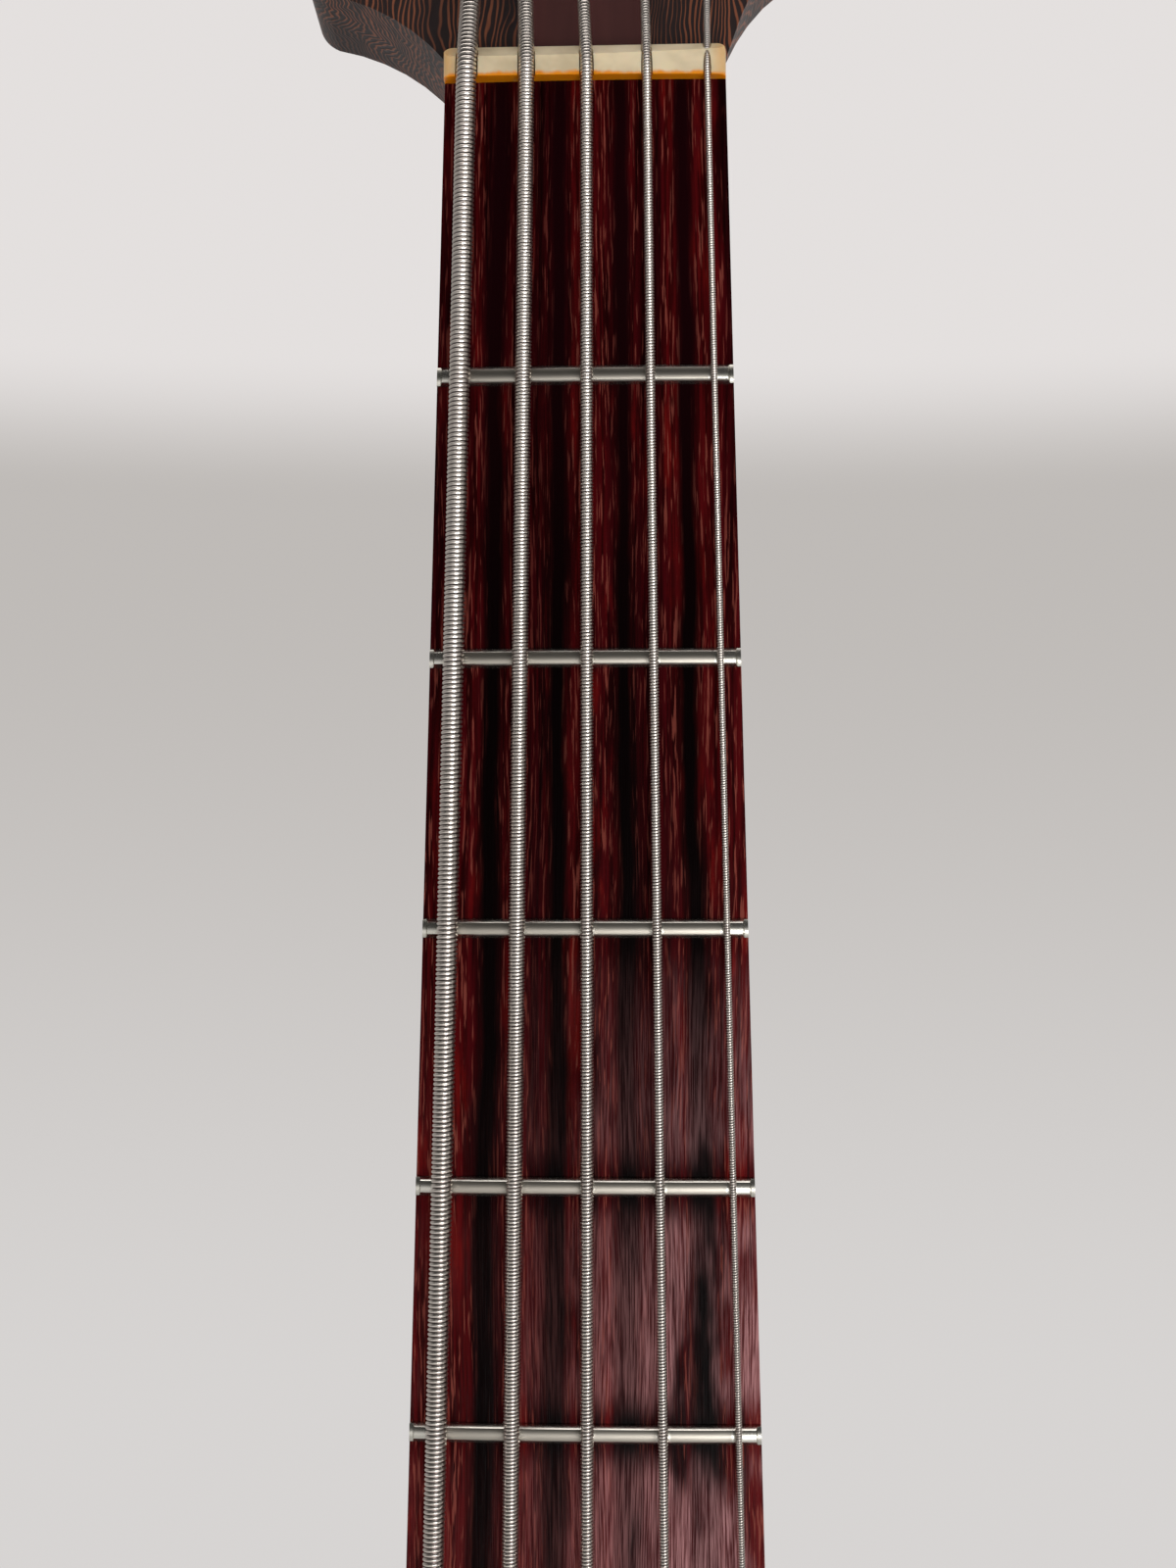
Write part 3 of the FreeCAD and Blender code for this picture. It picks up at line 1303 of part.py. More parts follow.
def make_knob(x, y):
    """Tapered, ribbed knob, recessed underneath over its nut."""
    low = BODY_TOP + KNOB_LIFT
    top = low + KNOB_HEIGHT
    knob = Part.makeCone(KNOB_RADIUS, KNOB_RADIUS - KNOB_TAPER, KNOB_HEIGHT, V(x, y, low), UP)
    knob = knob.makeFillet(KNOB_ROUND, flat_edges(knob, top))
    tools = [
        rod(V(x, y, low - PAST), V(x, y, low + KNOB_RECESS_DEPTH), KNOB_RECESS_RADIUS),
        rod(V(x, y, low), V(x, y, low + KNOB_RECESS_DEPTH + KNOB_SHAFT_DEPTH), POT_SHAFT_RADIUS),
    ]
    for index in range(KNOB_RIBS):
        angle = 2 * math.pi * index / KNOB_RIBS
        rib_x = x + KNOB_RADIUS * math.cos(angle)
        rib_y = y + KNOB_RADIUS * math.sin(angle)
        tools.append(rod(V(rib_x, rib_y, low - PAST), V(rib_x, rib_y, top - 2 * KNOB_ROUND), KNOB_RIB_DEPTH))
    return knob.cut(Part.makeCompound(tools))


def make_control_cover():
    grow = 2 * (COVER_LIP - COVER_CLEARANCE)
    size = (CONTROL_SIZE[0] + grow, CONTROL_SIZE[1] + grow)
    corner = CONTROL_CORNER + COVER_LIP - COVER_CLEARANCE
    cover = rounded_block(CONTROL_CENTRE, size, corner, (BODY_BACK, BODY_BACK + COVER_THICKNESS))
    for x, y in cover_screw_places():
        cover = cover.cut(rod(V(x, y, BODY_BACK - PAST), V(x, y, PAST), COVER_SCREW_RADIUS + SCREW_CLEARANCE))
    return cover


def make_cover_screws():
    screws = []
    for x, y in cover_screw_places():
        screws.append(screw(
            V(x, y, BODY_BACK), UP, COVER_SCREW_RADIUS, COVER_SCREW_LENGTH,
            COVER_SCREW_HEAD, COVER_SCREW_HEAD_HEIGHT,
        ))
    return screws


def make_capacitor():
    """Tone capacitor lying under the tone control."""
    x, y = KNOB_PLACES["tone"]
    height = control_ceiling() - POT_HEIGHT - CAPACITOR_RADIUS
    start = V(x - CAPACITOR_LENGTH, y, height)
    return rod(start, V(x, y, height), CAPACITOR_RADIUS)


def make_jack():
    """Barrel jack let into the edge of the body."""
    seat = V(JACK_SEAT, JACK_Y, JACK_Z)
    inner = seat.sub(ACROSS * JACK_BARREL_LENGTH)
    face = seat.add(ACROSS * JACK_FLANGE_HEIGHT)
    jack = rod(inner, seat, JACK_BARREL_RADIUS).fuse(rod(seat, face, JACK_FLANGE_RADIUS))
    bore = rod(face.sub(ACROSS * JACK_BORE_LENGTH), face.add(ACROSS * PAST), JACK_BORE_RADIUS)
    return jack.cut(bore)


def lead(corners):
    """Lead along a list of corners, each rounded."""
    edges = []
    point = corners[0]
    for before, corner, after in zip(corners, corners[1:], corners[2:]):
        turn = bend(before, corner, after, LEAD_BEND)
        edges.append(line(point, turn[0]))
        edges.append(arc(*turn))
        point = turn[2]
    edges.append(line(point, corners[-1]))
    return tube(edges, LEAD_RADIUS)


def make_wiring():
    """Pickup leads, links between the controls, and the lead to the jack."""
    leads = [lead(corners) for corners in lead_corners()]
    pots = [V(x, y, control_ceiling() - POT_HEIGHT) for x, y in KNOB_PLACES.values()]
    drop = DOWN * LINK_DROP
    for first, second in zip(pots, pots[1:]):
        way = second.sub(first).normalize() * (POT_RADIUS - LINK_DROP)
        start = first.add(way)
        end = second.sub(way)
        leads.append(lead([start, start.add(drop), end.add(drop), end]))
    jack = V(JACK_SEAT - JACK_BARREL_LENGTH, JACK_Y, JACK_Z)
    start = V(pots[-1].x + LINK_DROP, JACK_Y, pots[-1].z)
    leads.append(lead([start, V(start.x, JACK_Y, JACK_Z), jack]))
    return leads


def make_strap_button(seat, way):
    """Waisted button turned about its screw."""
    def at(radius, height):
        return V(radius, 0, height)

    rim = STRAP_HEIGHT - STRAP_RIM_HEIGHT
    bore = STRAP_SCREW_RADIUS + SCREW_CLEARANCE
    profile = Part.Face(Part.Wire([
        line(at(bore, 0), at(STRAP_BASE_RADIUS, 0)),
        line(at(STRAP_BASE_RADIUS, 0), at(STRAP_BASE_RADIUS, STRAP_BASE_HEIGHT)),
        arc(
            at(STRAP_BASE_RADIUS, STRAP_BASE_HEIGHT),
            at(STRAP_WAIST_RADIUS, (STRAP_BASE_HEIGHT + rim) / 2),
            at(STRAP_RIM_RADIUS, rim),
        ),
        line(at(STRAP_RIM_RADIUS, rim), at(STRAP_RIM_RADIUS, STRAP_HEIGHT)),
        line(at(STRAP_RIM_RADIUS, STRAP_HEIGHT), at(bore, STRAP_HEIGHT)),
        line(at(bore, STRAP_HEIGHT), at(bore, 0)),
    ]))
    button = profile.revolve(V(0, 0, 0), UP, 360)
    button.Placement = FreeCAD.Placement(seat, FreeCAD.Rotation(UP, way))
    return button


def make_strap_screw(seat, way):
    return screw(
        seat.add(way * STRAP_HEIGHT), way.negative(), STRAP_SCREW_RADIUS, STRAP_SCREW_LENGTH,
        STRAP_SCREW_HEAD, STRAP_SCREW_HEAD_HEIGHT,
    )


def make_pieces():
    """Every piece of the instrument by name, each a list of solids."""
    pieces = make_neck()
    pieces["fretboard"] = [make_fretboard()]
    pieces["frets"] = make_frets()
    pieces["side_dots"] = make_side_dots()
    pieces["nut"] = [make_nut()]
    pieces["truss_rod"] = [make_truss_rod()]
    pieces["truss_rod_wheel"] = [make_wheel()]
    pieces["body"] = [make_body()]
    pieces["neck_plate"] = [make_neck_plate()]
    pieces["neck_screws"] = make_neck_screws()
    posts = list(TUNER_POSTS.values())
    pieces["tuner_housings"] = [make_tuner_housing(*post) for post in posts]
    pieces["tuner_bushings"] = [make_tuner_bushing(u, v) for u, v, side in posts]
    pieces["tuner_screws"] = [make_tuner_screw(*post) for post in posts]
    for index, (letter, diameter, turns) in enumerate(STRINGS):
        pieces["tuner_key_" + letter] = [make_tuner_key(*TUNER_POSTS[letter])]
        pieces["tuner_post_" + letter] = [make_tuner_post(index)]
        pieces["string_" + letter] = [string_solid(index, 0, True)]
        pieces["saddle_" + letter] = make_saddle(index)
    pieces["ball_ends"] = make_ball_ends()
    pieces["bridge_base"] = [make_bridge_base()]
    pieces["bridge_screws"] = make_bridge_screws()
    pieces["intonation_screws"] = make_intonation_screws()
    for name, y in PICKUP_CENTRES.items():
        pieces["pickup_cover_" + name] = [make_pickup_cover(y)]
    pieces["pickup_coils"] = make_pickup_coils()
    pieces["pickup_foam"] = make_pickup_foam()
    pieces["pickup_screws"] = make_pickup_screws()
    pieces["potentiometers"] = [make_pot(x, y) for x, y in KNOB_PLACES.values()]
    pieces["pot_nuts"] = [make_pot_nut(x, y) for x, y in KNOB_PLACES.values()]
    for name, (x, y) in KNOB_PLACES.items():
        pieces["shaft_" + name] = [make_shaft(x, y)]
        pieces["knob_" + name] = [make_knob(x, y)]
    pieces["capacitor"] = [make_capacitor()]
    pieces["output_jack"] = [make_jack()]
    pieces["wiring"] = make_wiring()
    pieces["control_cover"] = [make_control_cover()]
    pieces["control_cover_screws"] = make_cover_screws()
    pieces["strap_buttons"] = [make_strap_button(*place) for place in strap_places()]
    pieces["strap_button_screws"] = [make_strap_screw(*place) for place in strap_places()]
    return pieces


def main():
    os.makedirs("parts", exist_ok=True)
    for index, (letter, diameter, turns) in enumerate(STRINGS):
        gap = self_gap(index)
        print("string_%s: least gap between turns %.2f mm" % (letter, gap))
        if gap <= LEAST_SELF_GAP:
            raise ValueError("turns of string %s are too close" % letter)
    for name, solids in make_pieces().items():
        shape = solids[0] if len(solids) == 1 else Part.makeCompound(solids)
        shape = shape.copy()
        shape.rotate(V(0, 0, 0), ACROSS, 90)
        shape.exportStep("parts/%s.step" % name)


main()
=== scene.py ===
import json
import math

import bpy
import numpy as np
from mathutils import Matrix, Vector


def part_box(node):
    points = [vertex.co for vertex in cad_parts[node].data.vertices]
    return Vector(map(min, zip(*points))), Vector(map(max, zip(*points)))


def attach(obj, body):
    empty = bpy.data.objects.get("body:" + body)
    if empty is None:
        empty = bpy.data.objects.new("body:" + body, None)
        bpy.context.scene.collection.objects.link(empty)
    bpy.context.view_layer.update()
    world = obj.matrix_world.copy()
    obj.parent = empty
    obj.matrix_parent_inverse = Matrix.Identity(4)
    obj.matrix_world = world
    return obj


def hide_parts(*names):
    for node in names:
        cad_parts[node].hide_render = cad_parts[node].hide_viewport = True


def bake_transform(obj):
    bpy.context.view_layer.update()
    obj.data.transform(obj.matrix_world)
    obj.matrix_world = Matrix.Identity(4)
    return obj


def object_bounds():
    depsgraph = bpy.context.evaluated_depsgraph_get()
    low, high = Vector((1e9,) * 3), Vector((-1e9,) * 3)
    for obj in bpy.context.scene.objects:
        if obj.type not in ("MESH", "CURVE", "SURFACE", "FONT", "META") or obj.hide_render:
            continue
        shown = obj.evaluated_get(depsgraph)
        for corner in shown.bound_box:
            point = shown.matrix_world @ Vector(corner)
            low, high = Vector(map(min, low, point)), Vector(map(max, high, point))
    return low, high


# A five-string electric bass guitar in a pale studio: its wound strings, finishes, light and camera.
# The frame is upright: X to the treble side, Z up the neck, and the front faces -Y.

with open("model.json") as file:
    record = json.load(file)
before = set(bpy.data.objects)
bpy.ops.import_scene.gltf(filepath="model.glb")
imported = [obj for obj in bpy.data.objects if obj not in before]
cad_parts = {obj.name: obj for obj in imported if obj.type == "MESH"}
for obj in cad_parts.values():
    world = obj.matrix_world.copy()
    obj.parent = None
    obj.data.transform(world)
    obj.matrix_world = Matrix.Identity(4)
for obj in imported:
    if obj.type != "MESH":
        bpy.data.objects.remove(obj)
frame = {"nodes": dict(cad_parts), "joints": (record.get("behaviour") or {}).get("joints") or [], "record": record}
nodes = frame["nodes"]
cad_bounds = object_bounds()
MM = 0.001

# Strings, from the bass side: letter, diameter, turns on the post, pitch of the wrap wire,
# facets round the string and across one wrap. Sizes are in millimetres.
STRINGS = (
    ("b", 3.43, 2, 0.72, 22, 3),
    ("e", 2.67, 2, 0.56, 16, 3),
    ("a", 2.16, 3, 0.55, 15, 3),
    ("d", 1.65, 3, 0.48, 14, 3),
    ("g", 1.14, 3, 0.40, 12, 3),
)
POST_SIDE = {"b": -1, "e": -1, "a": -1, "d": 1, "g": 1}
MIDDLE_STRING = (len(STRINGS) - 1) / 2

# Neck and bridge, in millimetres
SCALE = 863.6
NUT_BREAK = 2.0
NUT_FIRST_STRING = -19.0
NUT_STRING_PITCH = 9.7
BRIDGE_CENTRE = 1.0
BRIDGE_STRING_PITCH = 18.0
BRIDGE_FIRST_STRING = BRIDGE_CENTRE - MIDDLE_STRING * BRIDGE_STRING_PITCH
BOARD_RADIUS = 508.0
FRET_TOP = 7.7
NUT_ACTION = 0.35
BRIDGE_ACTION = 4.05
BALL_RISE = 12.8
BODY_TOP = -7.0

# Headstock and tuner posts, in millimetres
HEAD_TILT = math.radians(10.0)
HEAD_ROOT = 5.5
POST_RADIUS = 4.7
POST_LIFT = 3.5
WIND_CLEARANCE = 0.1
TURN_GAP = 0.6

# Bends of the strings, in millimetres, and how many points each bend or turn has
SADDLE_BEND = 10.0
NUT_BEND = 14.0
END_BEND_EXTRA = 0.9
BEND_STEPS = 9
END_STEPS = 10
TURN_STEPS = 32

# Where the lengths of a string meet: the overlap on the saddle in points, and the lead onto the post in turns
SADDLE_LAP = 3
WIND_LEAD = 1 / 30


# Routes of the strings, in bench millimetres: X to the treble side, Y up the neck, Z to the front
def head_to_bench(point):
    """Point given across, along and above the headstock's face, moved to the bench frame."""
    across, along, above = point
    up = HEAD_ROOT + along * math.cos(HEAD_TILT) + above * math.sin(HEAD_TILT)
    front = above * math.cos(HEAD_TILT) - along * math.sin(HEAD_TILT)
    return np.array((across, up, front))


def bench_to_head(point):
    """Point of the bench frame given across, along and above the headstock's face."""
    across, up, front = point
    rise = up - HEAD_ROOT
    along = rise * math.cos(HEAD_TILT) - front * math.sin(HEAD_TILT)
    above = rise * math.sin(HEAD_TILT) + front * math.cos(HEAD_TILT)
    return np.array((across, along, above))


def bench_to_frame(points):
    """Bench millimetres turned into the upright frame's metres."""
    points = np.asarray(points)
    return np.stack((points[:, 0], -points[:, 2], points[:, 1]), axis=1) * MM


def frame_to_bench(point):
    """Upright metres turned into bench millimetres."""
    return np.array((point[0], point[2], -point[1])) / MM


def unit(vector):
    return vector / np.linalg.norm(vector)


def unit_rows(vectors):
    return vectors / np.linalg.norm(vectors, axis=1)[:, None]


def crown_drop(x):
    """How far the board's crowned face has dropped at a distance from its centreline."""
    return BOARD_RADIUS - math.sqrt(BOARD_RADIUS ** 2 - x ** 2)


def bend_points(before, corner, after, radius):
    """Points along the arc that rounds a corner of a route."""
    back = unit(before - corner)
    ahead = unit(after - corner)
    half_turn = (math.pi - math.acos(np.clip(back @ ahead, -1, 1))) / 2
    centre = corner + unit(back + ahead) * radius / math.cos(half_turn)
    to_corner = unit(corner - centre)
    across = unit(ahead - back)
    angles = np.linspace(-half_turn, half_turn, BEND_STEPS)
    return [centre + radius * (to_corner * math.cos(a) + across * math.sin(a)) for a in angles]


def post_place(letter):
    """Where a tuner post's axis stands on the headstock, across and along its face."""
    joint = next(j for j in frame["joints"] if j["name"] == "post_turn_" + letter)
    return bench_to_head(frame_to_bench(joint["pos_m"]))[:2]


def string_spans(index):
    """Centreline of a string in three spans: behind the saddle, over the neck, and round the post."""
    letter, diameter, turns = STRINGS[index][:3]
    nut_x = NUT_FIRST_STRING + index * NUT_STRING_PITCH
    bridge_x = BRIDGE_FIRST_STRING + index * BRIDGE_STRING_PITCH
    centre = FRET_TOP + diameter / 2
    nut = np.array((nut_x, NUT_BREAK, centre - crown_drop(nut_x) + NUT_ACTION))
    saddle = np.array((bridge_x, -SCALE, centre - crown_drop(bridge_x) + BRIDGE_ACTION))
    string_low = frame_to_bench(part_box("string_" + letter)[0])
    ball = np.array((bridge_x, string_low[1], BODY_TOP + BALL_RISE))

    u, v = post_place(letter)
    radius = POST_RADIUS + WIND_CLEARANCE + diameter / 2
    local = bench_to_head(nut)
    spin = -POST_SIDE[letter]
    base = math.atan2(local[1] - v, local[0] - u)
    swing = math.acos(radius / math.hypot(local[0] - u, local[1] - v))
    pitch = diameter + TURN_GAP
    start = POST_LIFT + diameter / 2

    def wound_point(turn):
        """Place on the post after some turns from where the string meets it."""
        angle = base + spin * (swing + turn * 2 * math.pi)
        place = (u + radius * math.cos(angle), v + radius * math.sin(angle), start + turn * pitch)
        return head_to_bench(place)

    coil = [wound_point(step / TURN_STEPS) for step in range(turns * TURN_STEPS + 1)]
    way = unit(coil[-1] - coil[-2])
    axis_point = head_to_bench((u, v, start + turns * pitch))
    inward = unit(axis_point - coil[-1])
    tight = diameter / 2 + END_BEND_EXTRA
    sweep = math.acos(-tight / (radius - tight))
    tail = []
    for angle in np.linspace(0, sweep, END_STEPS)[1:]:
        tail.append(coil[-1] + way * (tight * math.sin(angle)) + inward * (tight * (1 - math.cos(angle))))
    heading = way * math.cos(sweep) + inward * math.sin(sweep)
    reach = math.sqrt((radius - tight) ** 2 - tight ** 2)

    over_saddle = bend_points(ball, saddle, nut, SADDLE_BEND)
    over_nut = bend_points(saddle, nut, coil[0], NUT_BEND)
    crest = BEND_STEPS // 2
    behind = [ball] + over_saddle[:crest + SADDLE_LAP + 1]
    over_neck = over_saddle[crest - SADDLE_LAP:] + over_nut + coil[:1]
    round_post = [wound_point(-WIND_LEAD)] + coil + tail + [tail[-1] + heading * reach]
    return [bench_to_frame(span) for span in (behind, over_neck, round_post)]


# Wrapped strings
def transported_frames(points):
    """Tangents and untwisted normals along a route."""
    steps = unit_rows(np.diff(points, axis=0))
    tangents = unit_rows(np.vstack((steps[:1], steps[:-1] + steps[1:], steps[-1:])))
    normal = unit(np.cross(tangents[0], (1.0, 0.0, 0.0)))
    normals = []
    for tangent in tangents:
        normal = unit(normal - tangent * (normal @ tangent))
        normals.append(normal)
    return tangents, np.array(normals)


def spread(values, places, at):
    """Rows of values given at places, read off at other places."""
    return np.stack([np.interp(at, places, values[:, k]) for k in range(values.shape[1])], axis=1)


def wrapped_span(name, route, diameter, pitch, sides, rows):
    """Closed surface of a length of string wound with round wire, one continuous helix."""
    tangents, normals = transported_frames(route)
    places = np.concatenate(([0.0], np.cumsum(np.linalg.norm(np.diff(route, axis=0), axis=1))))
    wraps = round(places[-1] / (pitch * MM))
    pitch = places[-1] / wraps
    last = (wraps - 1) * sides
    step, row = np.meshgrid(np.arange(last + 1), np.arange(rows), indexing="ij")
    step = np.concatenate((step.ravel(), np.arange(last + 1, last + sides + 1)))
    row = np.concatenate((row.ravel(), np.zeros(sides, int)))
    at = (step / sides + row / rows) * pitch
    across = row / rows * math.pi - math.pi / 2
    round_angle = step * 2 * math.pi / sides
    wire = pitch / 2
    depth = diameter * MM / 2 - wire + wire * np.cos(across)
    tangent = unit_rows(spread(tangents, places, at))
    normal = spread(normals, places, at)
    normal = unit_rows(normal - tangent * np.sum(normal * tangent, axis=1)[:, None])
    binormal = np.cross(tangent, normal)
    out = normal * np.cos(round_angle)[:, None] + binormal * np.sin(round_angle)[:, None]
    points = spread(route, places, at) + out * depth[:, None]

    def corner(i, j):
        """Number of the vertex at a step and a row, where the last row is the next wrap's first."""
        i = i + np.where(j == rows, sides, 0)
        return np.where(i <= last, i * rows + j % rows, last * rows + rows + i - last - 1)

    i, j = [grid.ravel() for grid in np.meshgrid(np.arange(last), np.arange(rows), indexing="ij")]
    quads = np.stack((corner(i, j), corner(i + 1, j), corner(i + 1, j + 1), corner(i, j + 1)), axis=1)
    faces = quads.tolist()
    turn = np.arange(sides + 1)
    inner_rows = np.arange(rows - 1, 0, -1)
    for first, place, way in ((0, route[0], -1), (last, route[-1], 1)):
        ring = corner(first + turn, np.zeros_like(turn))
        rim = np.concatenate((ring, corner(np.full_like(inner_rows, first), inner_rows)))
        rim = rim[::way].tolist()
        hub = len(points)
        points = np.vstack((points, place))
        row = np.append(row, 0)
        faces += [(rim[k], rim[(k + 1) % len(rim)], hub) for k in range(len(rim))]
    mesh = bpy.data.meshes.new(name)
    mesh.from_pydata(points.tolist(), [], faces)
    mesh.update()
    mesh.shade_smooth()
    # Vertices in the valleys between the turns, where the string's material paints shade
    valley = mesh.attributes.new("valley", "FLOAT", "POINT")
    valley.data.foreach_set("value", np.where(row == 0, 1.0, 0.0))
    made = bpy.data.objects.new(name, mesh)
    bpy.context.scene.collection.objects.link(made)
    return made


def wrapped_string(index):
    """Three lengths of a string: two that bend over its saddle, and one that turns with its post."""
    letter, diameter = STRINGS[index][:2]
    wrap = STRINGS[index][3:]
    spans = string_spans(index)
    made = []
    for name, span in zip(("behind", "over_neck", "round_post"), spans):
        made.append(wrapped_span("string_%s_%s" % (letter, name), span, diameter, *wrap))
        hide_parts("string_" + letter)
    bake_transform(made[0])
    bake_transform(made[1])
    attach(made[2], "post_" + letter)
    return made


strings = [span for index in range(len(STRINGS)) for span in wrapped_string(index)]


# Parts that the materials are made of
def rgb(red, green, blue):
    return (red, green, blue, 1.0)


def shaded(colour, share):
    """Colour brought down to a share of its brightness."""
    return rgb(*(share * part for part in colour[:3]))


def feed(tree, socket, value):
    """Links another node's output to a socket, or sets the socket to a value."""
    if isinstance(value, bpy.types.NodeSocket):
        tree.links.new(value, socket)
    else:
        socket.default_value = value


def add(tree, kind, inputs=None, **settings):
    """New shader node with its settings and its inputs, each a value or another node's output."""
    made = tree.nodes.new(kind)
    for name, value in settings.items():
        setattr(made, name, value)
    for name, value in (inputs or {}).items():
        feed(tree, made.inputs[name], value)
    return made


def start_material(name):
    """Empty material with its node tree and plain shader."""
    material = bpy.data.materials.new(name)
    material.use_nodes = True
    return material, material.node_tree, material.node_tree.nodes["Principled BSDF"]


def finish(tree, shader, **inputs):
    """Sets the shader's inputs by name, where an underscore stands for a space."""
    for name, value in inputs.items():
        feed(tree, shader.inputs[name.replace("_", " ")], value)


def place_of(tree):
    return add(tree, "ShaderNodeTexCoord").outputs["Object"]


def axis(tree, letter):
    """One coordinate of the piece's place, in metres."""
    split = add(tree, "ShaderNodeSeparateXYZ", {"Vector": place_of(tree)})
    return split.outputs[letter]


def noise(tree, waves, detail=3.0, roughness=0.55, place=None):
    """Noise over the piece, with its own count of waves per metre along X, Y and Z."""
    stretched = add(tree, "ShaderNodeMapping", {"Vector": place or place_of(tree), "Scale": waves})
    made = add(tree, "ShaderNodeTexNoise", {
        "Vector": stretched.outputs["Vector"],
        "Scale": 1.0,
        "Detail": detail,
        "Roughness": roughness,
    })
    return made.outputs["Fac"]


def calc(tree, operation, first, second=0.0):
    """Result of a sum on one or two values."""
    return add(tree, "ShaderNodeMath", {0: first, 1: second}, operation=operation).outputs["Value"]


def plus(tree, first, second):
    return calc(tree, "ADD", first, second)


def minus(tree, first, second):
    return calc(tree, "SUBTRACT", first, second)


def times(tree, first, second):
    return calc(tree, "MULTIPLY", first, second)


def level(tree, share, low, high):
    """Value that is low at a share of 0 and high at a share of 1."""
    return plus(tree, low, times(tree, share, high - low))


def swing(tree, noisy, width):
    """Noise turned into a push to either side, with a given width in all."""
    return times(tree, minus(tree, noisy, 0.5), width)


def fade(tree, value, low, high):
    """Value turned into 0 at low and 1 at high, with soft ends."""
    made = add(tree, "ShaderNodeMapRange", {
        "Value": value, "From Min": low, "From Max": high,
    }, interpolation_type="SMOOTHSTEP")
    return made.outputs["Result"]


def blend(tree, factor, first, second, kind="MIX"):
    """Mixed colour of two colours."""
    made = add(tree, "ShaderNodeMix", {"Factor": factor}, data_type="RGBA", blend_type=kind)
    for name, value in (("A_Color", first), ("B_Color", second)):
        feed(tree, next(s for s in made.inputs if s.identifier == name), value)
    return next(s for s in made.outputs if s.identifier == "Result_Color")


def ramp(tree, value, *stops):
    """Colour ramp with stops of place and colour."""
    made = add(tree, "ShaderNodeValToRGB", {"Fac": value})
    points = made.color_ramp.elements
    while len(points) < len(stops):
        points.new(1.0)
    for point, (place, colour) in zip(points, stops):
        point.position = place
        point.color = colour
    return made.outputs["Color"]


def bump(tree, height, strength, distance):
    made = add(tree, "ShaderNodeBump", {"Height": height, "Strength": strength, "Distance": distance})
    return made.outputs["Normal"]


def wandering_grain(tree, width, waves):
    """Place on the piece, pushed sideways so that what follows it wanders along the grain."""
    push = swing(tree, noise(tree, waves, detail=2.0), width)
    shift = add(tree, "ShaderNodeCombineXYZ", {"X": push})
    ends = {0: place_of(tree), 1: shift.outputs["Vector"]}
    return add(tree, "ShaderNodeVectorMath", ends, operation="ADD").outputs["Vector"]


FRETS_PER_OCTAVE = 12.0


def fret_number(tree):
    """How many frets up the neck a place is, with the share of the way to the next one."""
    left = plus(tree, 1.0, times(tree, axis(tree, "Z"), 1.0 / (SCALE * MM)))
    return times(tree, calc(tree, "LOGARITHM", left, 2.0), -FRETS_PER_OCTAVE)


def string_place(tree):
    """How many strings across the neck a place is, counted from the bass string's line."""
    share = times(tree, axis(tree, "Z"), -1.0 / (SCALE * MM))
    pitch = level(tree, share, NUT_STRING_PITCH * MM, BRIDGE_STRING_PITCH * MM)
    first = level(tree, share, NUT_FIRST_STRING * MM, BRIDGE_FIRST_STRING * MM)
    return calc(tree, "DIVIDE", minus(tree, axis(tree, "X"), first), pitch)


# Fretboard: colours of the wood, of the painted shadows of the strings, dark bands between them, and of the
# painted sheen
ROSEWOOD_DARK = rgb(0.0080, 0.0004, 0.0010)
ROSEWOOD_MIDDLE = rgb(0.042, 0.0010, 0.0023)
ROSEWOOD_RED = rgb(0.090, 0.0026, 0.0034)
ROSEWOOD_WARM = rgb(0.140, 0.0045, 0.0035)
ROSEWOOD_LINE = rgb(0.30, 0.24, 0.28)
ROSEWOOD_FIBRE = rgb(0.190, 0.042, 0.030)
STRING_SHADOW_COLOUR = rgb(0.0016, 0.0002, 0.0003)
STRING_SHADOW_BY_NUT = rgb(0.0085, 0.0004, 0.0012)
SHEEN_DEEP = rgb(0.075, 0.014, 0.015)
SHEEN_BASS = rgb(0.440, 0.120, 0.110)
SHEEN_TREBLE = rgb(0.480, 0.235, 0.238)

# Painted string shadows: where each dark band lies in its space between two strings, its wander, its edge and the
# board's margin
STRING_SHADOW_PLACE = 0.55
STRING_SHADOW_WANDER = 0.30
STRING_SHADOW_EDGE = (0.05, 0.28)
BOARD_MARGIN = 0.15

# Frets between which the painted string shadows darken and the painted sheen comes in, and the sheen's fade across
# the board
NUT_FRETS = (2.2, 0.3)
SHEEN_FRETS = (2.7, 5.2)
SHEEN_FADE_FRETS = (7.0, 13.0)
FRET_SHEEN_GAP = (0.04, 0.20)
SHEEN_SIDE = (-0.020, 0.021)
GRAIN_DEPTH = 0.0002


